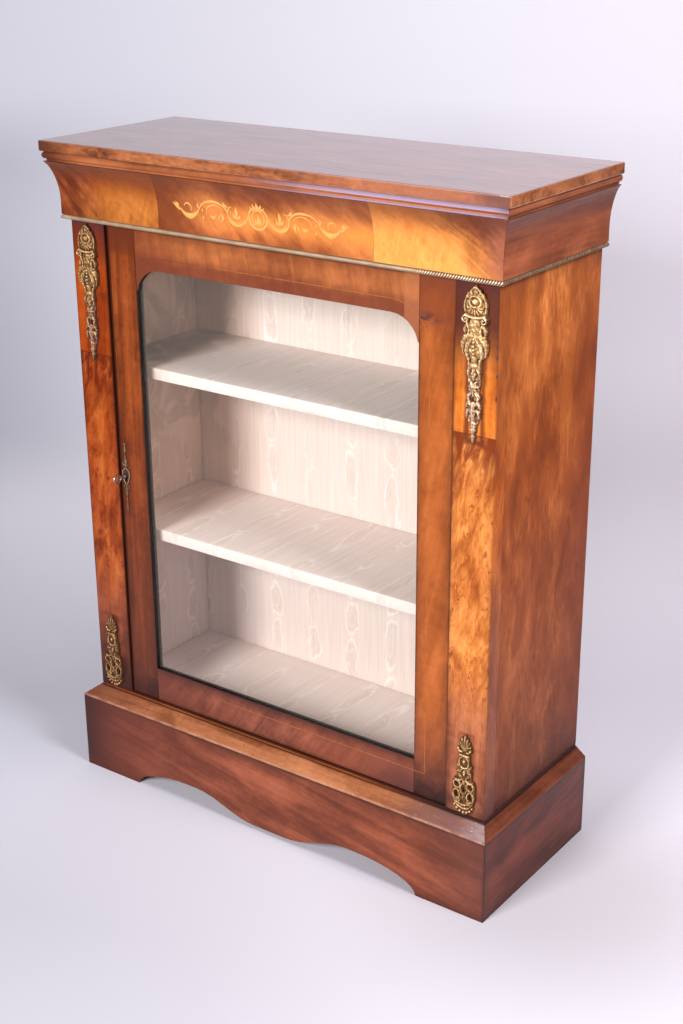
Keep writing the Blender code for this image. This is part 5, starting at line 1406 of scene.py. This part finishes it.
# %% Turn the rope bead
ROPE_PITCH = 0.0042
ROPE_STRANDS = 3
ROPE_DIP = 0.17
ROPE_STEP = 0.00045
ROPE_SLIM = 0.88
ROPE_SIDES = 14
SIDE_SHARE = 0.89


def rope_rings(length, radius):
    """Rings of (along share, outward, upward, relief) for a rope of that length."""
    rings = []
    count = round(length / ROPE_STEP)
    for ring in range(count + 1):
        along = ring / count
        wind = 2 * math.pi * along * length / (ROPE_PITCH * ROPE_STRANDS)
        row = []
        for step in range(ROPE_SIDES):
            angle = 2 * math.pi * step / ROPE_SIDES
            swell = abs(math.cos(ROPE_STRANDS * (angle - wind) / 2))
            reach = radius * (1 - ROPE_DIP + ROPE_DIP * swell ** 0.7)
            row.append((along, reach * math.cos(angle), reach * math.sin(angle), swell))
        rings.append(row)
    return rings


def rope_bead(name, node, place, material):
    """place turns (along share, outward, upward) into a point."""
    low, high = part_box(node)
    length = max(high[axis] - low[axis] for axis in range(3))
    rings = rope_rings(length, ROPE_SLIM * (high.z - low.z) / 2)
    points = [place(along, out, up, low, high) for row in rings for along, out, up, swell in row]
    faces = []
    for ring in range(len(rings) - 1):
        for step in range(ROPE_SIDES):
            following = (step + 1) % ROPE_SIDES
            a, b = ring * ROPE_SIDES, (ring + 1) * ROPE_SIDES
            faces.append((a + step, a + following, b + following, b + step))
    last = (len(rings) - 1) * ROPE_SIDES
    faces.append(tuple(range(ROPE_SIDES))[::-1])
    faces.append(tuple(last + step for step in range(ROPE_SIDES)))
    piece = mesh_piece(name, points, faces, "cabinet", material, 60)
    store(piece, "relief", [0.05 + 0.95 * swell ** 1.8 for row in rings for along, out, up, swell in row])
    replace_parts(piece, node)


front_low, front_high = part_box("gilt_bead_front")
ROPE_RADIUS = (front_high.z - front_low.z) / 2
ROPE_MIDDLE = front_low.y + ROPE_RADIUS
CORNER_Y = front_high.y
ROPE_HEIGHT = (front_high.z + front_low.z) / 2


def front_place(along, out, up, low, high):
    """A point of the front rope, whose ends are cut at the mitres."""
    y = min(ROPE_MIDDLE - out, CORNER_Y)
    half = CARCASE_SIDE + SIDE_SHARE * (CORNER_Y - y)
    return (-half + 2 * half * along, y, ROPE_HEIGHT + up)


def side_place(along, out, up, low, high):
    """A point of a side rope, which runs from its mitre to the back."""
    way = 1 if high.x > 0 else -1
    outer = high.x if way > 0 else -low.x
    inner = low.x if way > 0 else -high.x
    x = max(outer - ROPE_RADIUS + out, inner)
    start = CORNER_Y - (x - CARCASE_SIDE) / SIDE_SHARE
    return (way * x, start + (high.y - start) * along, ROPE_HEIGHT + up)


rope_bead("rope_bead_front", "gilt_bead_front", front_place, bead_gilt)
for side in ("left", "right"):
    rope_bead("rope_bead_" + side, "gilt_bead_" + side, side_place, side_bead_gilt)
print("rope bead turned")

# %% [markdown]
# ## Boxwood marquetry
# The scrolls on the frieze are thin yellow boxwood, sawn to shape and shaded by dipping one edge
# in hot sand. A scroll of marquetry is a stroke that swells and thins, so each one here is a
# ribbon along a smooth line. The ribbons are laid on the cove itself: a ray from the front finds
# the wood behind every point, so they follow its curve. Only one half is written, and the other
# is its mirror. Places are millimetres from the middle and from the centre line.

# %% Cut the marquetry
MARQUETRY_MIDDLE = -0.004
MARQUETRY_LEVEL = 0.9755
INLAY_PROUD = 0.00012
INLAY_LAYER = 0.00002
STROKE_FULLNESS = 1.05
BOX_TONES = ((0.4, 0.14, 0.03), (0.64, 0.27, 0.07), (0.8, 0.41, 0.13))

# each stroke: its line, its half width at the start, the middle and the end
SCROLL_STROKES = [
    ([(0, 14.5), (11, 10), (15.5, 2), (13.5, -8), (6, -14), (0, -15)], (1.3, 1.5, 1.9)),
    ([(0, 10.5), (7.5, 7), (10.5, 0), (8, -7.5), (2, -10.5)], (0.7, 0.9, 0.7)),
    ([(0, 11), (0, 21)], (1.2, 2.8, 0.3)),
    ([(1, 12), (6, 15), (7.5, 19.5)], (0.8, 2.0, 0.3)),
    ([(1.5, 11), (9, 11.5), (12.5, 15.5)], (0.7, 1.8, 0.3)),
    ([(0, -9), (0, 4)], (1.0, 3.0, 0.4)),
    ([(0.5, -9), (4.5, -6), (5.5, -0.5)], (0.8, 1.9, 0.3)),
    ([(14.5, 5), (20, -5), (29, -12.5), (39, -14.5), (49, -10), (54, -1), (51, 8.5), (45, 11)],
     (1.0, 2.1, 0.5)),
    ([(24, -5), (31, -9.5), (39, -11), (46.5, -7.5), (49.5, -0.5), (47, 5)], (0.4, 0.9, 0.4)),
    ([(38, -7), (38.5, 3), (37.5, 11.5)], (1.2, 3.0, 0.4)),
    ([(38, -5), (42.5, -3), (44.5, 2)], (0.9, 2.0, 0.3)),
    ([(38, -5), (33.5, -3), (31.5, 1.5)], (0.9, 2.0, 0.3)),
    ([(52.5, 9.5), (58, 11.5), (60.5, 16.5)], (0.7, 2.3, 0.3)),
    ([(53.5, -3.5), (55, 4), (62, 10.5), (71, 14), (82, 14.5), (92, 12.5), (101, 7), (106, 0)],
     (0.8, 1.9, 0.7)),
    ([(61, 3), (68, 8.5), (77, 10), (86, 7.5), (91.5, 2), (92, -5)], (0.5, 1.0, 0.5)),
    ([(75.5, -4.5), (80, -8.5), (86, -5.5)], (0.4, 2.5, 0.4)),
    ([(65, 0), (62.5, -6), (65.5, -13.5)], (0.6, 2.6, 0.3)),
    ([(66, -2), (69, -6), (68.5, -10.5)], (0.5, 1.4, 0.3)),
    ([(100, 3), (99.2, 0.5), (100, -1.5)], (0.5, 1.5, 0.4)),
    ([(99, -7), (98.2, -9.5), (99.5, -12)], (0.5, 1.6, 0.4)),
    ([(105, 1), (107.5, 6), (106, 10)], (0.6, 1.9, 0.3)),
    ([(104.5, 1.5), (110, -4.5), (118, -9.5), (127, -10), (135, -6), (140.5, 0.5)], (0.6, 4.2, 0.6)),
    ([(121, -2.5), (119.5, 3), (124, 7.5), (130, 7), (132.5, 3)], (0.5, 1.2, 0.5)),
    ([(139, -2.5), (144.5, -0.5), (148, 4.5)], (0.6, 1.2, 0.8)),
    ([(141.5, -3.5), (146, 2), (153.5, 6.5)], (0.8, 2.9, 0.3)),
    ([(143, 0), (144, 5), (149.5, 8.5)], (0.5, 1.6, 0.3)),
]


def boxwood():
    mix = Finish("boxwood_inlay")
    fibre = mix.cloud((0.004, 0.004, 0.0008), 3)
    value = mix.stored("scorch") * 0.75 + fibre * 0.35
    return polish(mix, mix.tones(value, BOX_TONES, (0.15, 0.45, 0.85)), fibre)


wood_behind = BVHTree.FromObject(nodes["frieze_cove_front"], bpy.context.evaluated_depsgraph_get())


def on_cove(x, z, proud):
    """The point of the cove straight behind (x, z), brought forward by proud."""
    hit = wood_behind.ray_cast(Vector((x, -1.0, z)), Vector((0, 1, 0)))[0]
    return (x, hit.y - proud, z)


def ribbon(track, halves, way, layer):
    """Points, faces and scorch values for one stroke of marquetry, five points wide."""
    count = len(track)
    share = np.linspace(0, 1, count)
    half = np.interp(share, (0, 0.5, 1), [STROKE_FULLNESS * half for half in halves])
    along = np.gradient(track, axis=0)
    along = along / np.linalg.norm(along, axis=1)[:, None]
    points, shades, faces = [], [], []
    for at in range(count):
        for lane in (-1.0, -0.5, 0.0, 0.5, 1.0):
            aside = track[at, 0] + along[at, 1] * lane * half[at]
            up = track[at, 1] - along[at, 0] * lane * half[at]
            points.append(on_cove(MARQUETRY_MIDDLE + way * aside * MM, MARQUETRY_LEVEL + up * MM, layer))
            shades.append(0.75 - 0.55 * max(0.0, lane) ** 1.5 - 0.25 * abs(share[at] - 0.5))
    for at in range(count - 1):
        for lane in range(4):
            corner = at * 5 + lane
            faces.append((corner, corner + 1, corner + 6, corner + 5)[::way])
    return points, faces, shades


def lay_marquetry():
    points, faces, shades = [], [], []
    for number, (line, halves) in enumerate(SCROLL_STROKES):
        reach = sum(math.dist(a, b) for a, b in zip(line, line[1:]))
        track = smooth_track(line, max(10, round(reach * 1.1)))
        for way in (1, -1):
            layer = INLAY_PROUD + INLAY_LAYER * (2 * number + (way < 0)) / 2
            new_points, new_faces, new_shades = ribbon(track, halves, way, layer)
            faces += [tuple(corner + len(points) for corner in face) for face in new_faces]
            points += new_points
            shades += new_shades
    piece = mesh_piece("boxwood_scrolls", points, faces, "cabinet", boxwood())
    store(piece, "scorch", shades)
    return piece


scrolls = lay_marquetry()
print("marquetry", len(scrolls.data.polygons), "faces")

# %% [markdown]
# ## The boxwood line
# A single hair line of boxwood runs round the door between the frame's veneer and the
# crossbanding at the glass. It is a thin strip let into the face, so it is built as a strip with
# a square section that stands proud by a tenth of a millimetre, with round corners at the head
# and square ones at the foot, as the window has.

# %% Inlay the door's line
LINE_OUTSIDE = 0.0185
LINE_WIDE = 0.0008
LINE_PROUD = 0.0001
LINE_DEEP = 0.0003
LINE_TONES = ((0.24, 0.066, 0.013), (0.36, 0.122, 0.027), (0.46, 0.182, 0.048))
WINDOW_HEAD = 0.8725
GLASS_ROUND = 0.045
ARC_STEPS = 14


def window_outline(outside):
    """The window's outline, grown by outside: square at the foot and round at the head."""
    half = rail_high.x + outside
    foot = rail_high.z - outside
    head = WINDOW_HEAD + outside
    round_off = GLASS_ROUND + outside
    outline = [(-half, foot), (half, foot)]
    for middle, start in ((half - round_off, 0.0), (-(half - round_off), math.pi / 2)):
        for step in range(ARC_STEPS + 1):
            angle = start + math.pi / 2 * step / ARC_STEPS
            rise = round_off * math.sin(angle)
            outline.append((middle + round_off * math.cos(angle), head - round_off + rise))
    return outline


def line_finish():
    """Boxwood that has darkened to the walnut's own colour on the left, where the damp was."""
    mix = Finish("boxwood_line")
    fibre = mix.cloud(0.004, 3)
    colour = mix.tones(fibre, LINE_TONES, (0.25, 0.5, 0.8))
    return polish(mix, mix.stain(colour, X, -0.06, -0.16, 0.92, (0.13, 0.03, 0.008)), fibre)


def inlay_line(name, outline, wide, face_y):
    """A closed strip along an outline, with its inner and outer edges a width apart."""
    ring = np.array(outline)
    before, after = np.roll(ring, 1, 0), np.roll(ring, -1, 0)
    first = (ring - before) / np.linalg.norm(ring - before, axis=1)[:, None]
    second = (after - ring) / np.linalg.norm(after - ring, axis=1)[:, None]
    along = first + second
    along = along / np.linalg.norm(along, axis=1)[:, None]
    out = np.stack([along[:, 1], -along[:, 0]], 1)
    widen = wide / 2 / np.maximum(np.sum(out * np.stack([second[:, 1], -second[:, 0]], 1), 1), 0.3)
    points = []
    for side, inward in ((-1, -LINE_PROUD), (1, -LINE_PROUD), (1, LINE_DEEP), (-1, LINE_DEEP)):
        for place in ring + side * out * widen[:, None]:
            points.append((place[0], face_y + inward, place[1]))
    count = len(ring)
    faces = []
    for band in range(4):
        for at in range(count):
            nxt = (at + 1) % count
            a, b = band * count, (band + 1) % 4 * count
            faces.append((a + at, a + nxt, b + nxt, b + at))
    return mesh_piece(name, points, faces, "door", line_finish(), 30)


inlay_line("boxwood_line", window_outline(LINE_OUTSIDE), LINE_WIDE, lock_low.y)
print("door line inlaid")

# %% [markdown]
# ## Screws and pins
# Small fixings are what tell a cabinet from a box. The lock and the keep are held by
# countersunk screws with one slot, and each upper mount by two brass pins. The back boards are nailed.
# A screw head is turned as a shallow dome with its slot cut across it, and each is turned to its
# own angle by a seeded draw, as a joiner leaves them.

# %% Screws and pins
random.seed(7)
HEAD_SIDES = 24
HEAD_DOME = ((0.5, 0.8), (0.8, 0.45), (0.95, 0.15))
HEAD_BELOW = 0.4


def screw_head(name, place, facing, radius, body, material, slot, slotted, rise):
    """A domed head at place that faces along facing, with its slot at a drawn angle."""
    slot_half = 0.16 * radius
    slot_depth = 0.35 * radius if slotted else 0.0
    dome = [(share, level * rise) for share, level in HEAD_DOME]
    turn = Vector(facing).to_track_quat("Z", "Y").to_matrix().to_4x4()
    spin = Matrix.Rotation(random.uniform(0, math.pi), 4, "Z")
    head = bmesh.new()
    rows = []
    for reach, level in (*dome, (1.0, 0.0), (1.0, -HEAD_BELOW)):
        row = []
        for step in range(HEAD_SIDES):
            angle = 2 * math.pi * step / HEAD_SIDES
            x, y = radius * reach * math.cos(angle), radius * reach * math.sin(angle)
            sunk = slot_depth if abs(y) < slot_half and level > 0 else 0.0
            row.append(head.verts.new((x, y, radius * level - sunk)))
        rows.append(row)
    centre = head.verts.new((0, 0, radius * rise - slot_depth))
    for step in range(HEAD_SIDES):
        nxt = (step + 1) % HEAD_SIDES
        head.faces.new((centre, rows[0][step], rows[0][nxt]))
        for inner, outer in zip(rows, rows[1:]):
            head.faces.new((inner[step], outer[step], outer[nxt], inner[nxt]))
    head.faces.new(rows[-1][::-1])
    bmesh.ops.recalc_face_normals(head, faces=head.faces)
    bmesh.ops.transform(head, matrix=Matrix.Translation(place) @ turn @ spin, verts=head.verts)
    bmesh_piece(name, head, body, material, 35)


SCREW_RADIUS = 0.0024
PIN_RADIUS = 0.0011
NAIL_RADIUS = 0.0022
SCREW_IN = (0.006, 0.007)
NAIL_IN = (0.045, 0.012)
NAILS_ACROSS = 8
PIN_DROPS = (61.0, 117.0)
# each kind: which way it faces, its radius, body, metal and slot, whether it is slotted, its rise
FIXINGS = {
    "lock_screw": ((0, 1, 0), SCREW_RADIUS, "door", brass, "brass", True, 0.25),
    "keep_screw": ((1, 0, 0), SCREW_RADIUS * 0.8, "cabinet", brass, "brass", True, 0.12),
    "mount_pin": ((0, -1, 0), PIN_RADIUS, "cabinet", brass, "brass", False, 0.25),
    "back_nail": ((0, 1, 0), NAIL_RADIUS, "cabinet", steel, "steel", False, 0.25),
}


def fixing_places():
    """Each fixing's kind and place, in the order in which they are driven."""
    low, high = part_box("lock_case")
    for x in (low.x + SCREW_IN[0], high.x - SCREW_IN[0]):
        for z in (low.z + SCREW_IN[1], high.z - SCREW_IN[1]):
            yield "lock_screw", (x, high.y, z)
    low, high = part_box("keep_plate")
    for z in (low.z + SCREW_IN[0], high.z - SCREW_IN[0]):
        yield "keep_screw", (high.x, (low.y + high.y) / 2, z)
    for side in ("left", "right"):
        low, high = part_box("upper_mount_" + side)
        for drop in PIN_DROPS:
            rise = upper_wax.height[round(drop / WAX_PITCH), upper_wax.height.shape[1] // 2]
            yield "mount_pin", ((low.x + high.x) / 2, high.y - rise * MM, high.z - drop * MM)
    low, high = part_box("back_panel")
    span = high.x - low.x - 2 * NAIL_IN[0]
    for z in (low.z + NAIL_IN[1], high.z - NAIL_IN[1]):
        for column in range(NAILS_ACROSS):
            yield "back_nail", (low.x + NAIL_IN[0] + column * span / (NAILS_ACROSS - 1), high.y, z)


for number, (kind, place) in enumerate(fixing_places()):
    screw_head(f"{kind}_{number}", place, *FIXINGS[kind])
print(number + 1, "screws, pins and nails")

# %% [markdown]
# ## The studio
# The cabinet stands on a pale lilac-grey sweep: a floor that curves up into a wall, so that there
# is no corner behind. Its place was read from where the floor's tone turns in the photograph.

# %% Build the sweep
SWEEP_AHEAD = 3.25
SWEEP_BEND = 0.6
SWEEP_BEFORE = 0.9
SWEEP_HALF_WIDE = 1.6
SWEEP_TALL = 3.6
SWEEP_TONES = ((0.44, 0.435, 0.5), (0.56, 0.55, 0.62), (0.72, 0.69, 0.77))
SWEEP_SHADE = (0.63, 0.64, 0.65)
SWEEP_WALL = (0.85, 0.86, 0.86)
SWEEP_NEAR = (0.86, 0.86, 0.86)
CABINET_SHADE = (0.76, 0.74, 0.73)
CAMERA_FOOT = Vector((CAMERA_PLACE.x, CAMERA_PLACE.y, 0))


def sweep_paper():
    """Painted light on the paper: darker towards the left as a falloff, painted shadows of the cabinet on
    the left, in a band on the right and round its foot, and darker towards the camera and up the wall.
    """
    mix = Finish("sweep_paper")
    height = mix.axes[Z]
    aside = mix.axes[X] * ASIDE.x + mix.axes[Y] * ASIDE.y
    ahead = mix.axes[X] * AHEAD.x + mix.axes[Y] * AHEAD.y
    start = AHEAD.dot(CAMERA_FOOT)
    # painted light falloff: the paper darkens towards the left
    colour = mix.tones(mix.reach(aside, -1.3, 0.9), SWEEP_TONES, (0.0, 0.45, 1.0))
    near = mix.reach(ahead, start + 1.75, start + 2.35, 1.0, 0.0) * mix.reach(aside, -0.6, 0.3, 1.6, 0.35)
    # painted shadows of the cabinet: a band on the left, one on the right and a soft one round its foot
    left = mix.between(height, 0.26, 0.95, 0.09) * mix.reach(aside, -0.9, -0.1, 1.0, 0.0)
    right = mix.between(height, 0.16, 0.36, 0.12) * mix.reach(aside, 0.05, 0.35)
    beside = mix.reach(mix.far(mix.axes[X] - 0.46, mix.axes[Y] - 0.0), 0.06, 0.42, 1.0, 0.0)
    shades = ((mix.reach(height, 0.7, 1.0), SWEEP_WALL), (near, SWEEP_NEAR), (left, SWEEP_SHADE),
              (right, SWEEP_NEAR), (beside, CABINET_SHADE))
    for share, shade in shades:
        colour = mix.dye(share, colour, shade, "MULTIPLY")
    return mix.finish(colour, 0.9, None, 0, 0, Specular_IOR_Level=0.1)


def studio_sweep():
    profile = [(SWEEP_BEFORE, 0.0), (SWEEP_AHEAD - SWEEP_BEND, 0.0)]
    for step in range(1, 13):
        angle = math.pi / 2 * step / 12
        reach = SWEEP_AHEAD - SWEEP_BEND + SWEEP_BEND * math.sin(angle)
        profile.append((reach, SWEEP_BEND * (1 - math.cos(angle))))
    profile.append((SWEEP_AHEAD, SWEEP_TALL))
    points = [CAMERA_FOOT + AHEAD * reach + ASIDE * side * SWEEP_HALF_WIDE + Vector((0, 0, level))
              for side in (-1, 1) for reach, level in profile]
    count = len(profile)
    faces = [(at, at + 1, count + at + 1, count + at) for at in range(count - 1)]
    mesh = bpy.data.meshes.new("studio_sweep")
    mesh.from_pydata([tuple(point) for point in points], [], faces)
    mesh.shade_smooth()
    mesh.materials.append(sweep_paper())
    put("studio_sweep", mesh)


studio_sweep()
print("sweep", SWEEP_AHEAD, "m from the camera")

# %% [markdown]
# ## The lights
# The shadows inside the cabinet say where the main light was: its edge on the silk lies almost
# straight behind the window's edge and about 22 degrees down, so a large soft box stood in front
# of the cabinet, a little above the camera. A second one, high on the right, lights the side
# panel, and a weak warm one beside the camera fills the shadows. The polished top mirrors the
# paper wall behind it, so its sheen needs no lamp.

# %% Hang the lights
def soft_box(name, place, target, wide, tall, power, colour=(1.0, 1.0, 1.0)):
    lamp = bpy.data.lights.new(name, "AREA")
    lamp.shape = "RECTANGLE"
    lamp.size = wide
    lamp.size_y = tall
    lamp.energy = power
    lamp.color = colour
    turn = (Vector(place) - Vector(target)).to_track_quat("Z", "Y").to_matrix().to_4x4()
    put(name, lamp).matrix_world = Matrix.Translation(place) @ turn


FRONT_LIGHT = 3.3
FRONT_SIDE = math.radians(3.7)
FRONT_RISE = math.radians(21.8)
cabinet_middle = Vector((0, -0.12, 0.55))
level = math.cos(FRONT_RISE)
toward_front = Vector((-math.sin(FRONT_SIDE) * level, -math.cos(FRONT_SIDE) * level, math.sin(FRONT_RISE)))
soft_box("front_box", cabinet_middle + toward_front * FRONT_LIGHT, cabinet_middle, 1.05, 1.05, 146)
soft_box("side_box", (2.2, -0.35, 2.35), (0.3, 0.0, 0.6), 1.0, 1.0, 80)
soft_box("camera_fill", (1.9, -2.3, 1.5), (0, 0, 0.6), 1.2, 1.2, 18, (1.0, 0.88, 0.82))
world = bpy.data.worlds.new("studio_air")
world.use_nodes = True
air = world.node_tree.nodes["Background"].inputs
air["Color"].default_value = (1.0, 0.95, 0.93, 1)
air["Strength"].default_value = 0.08
bpy.context.scene.world = world
bpy.context.scene.view_settings.view_transform = "Standard"
print("lights hung")
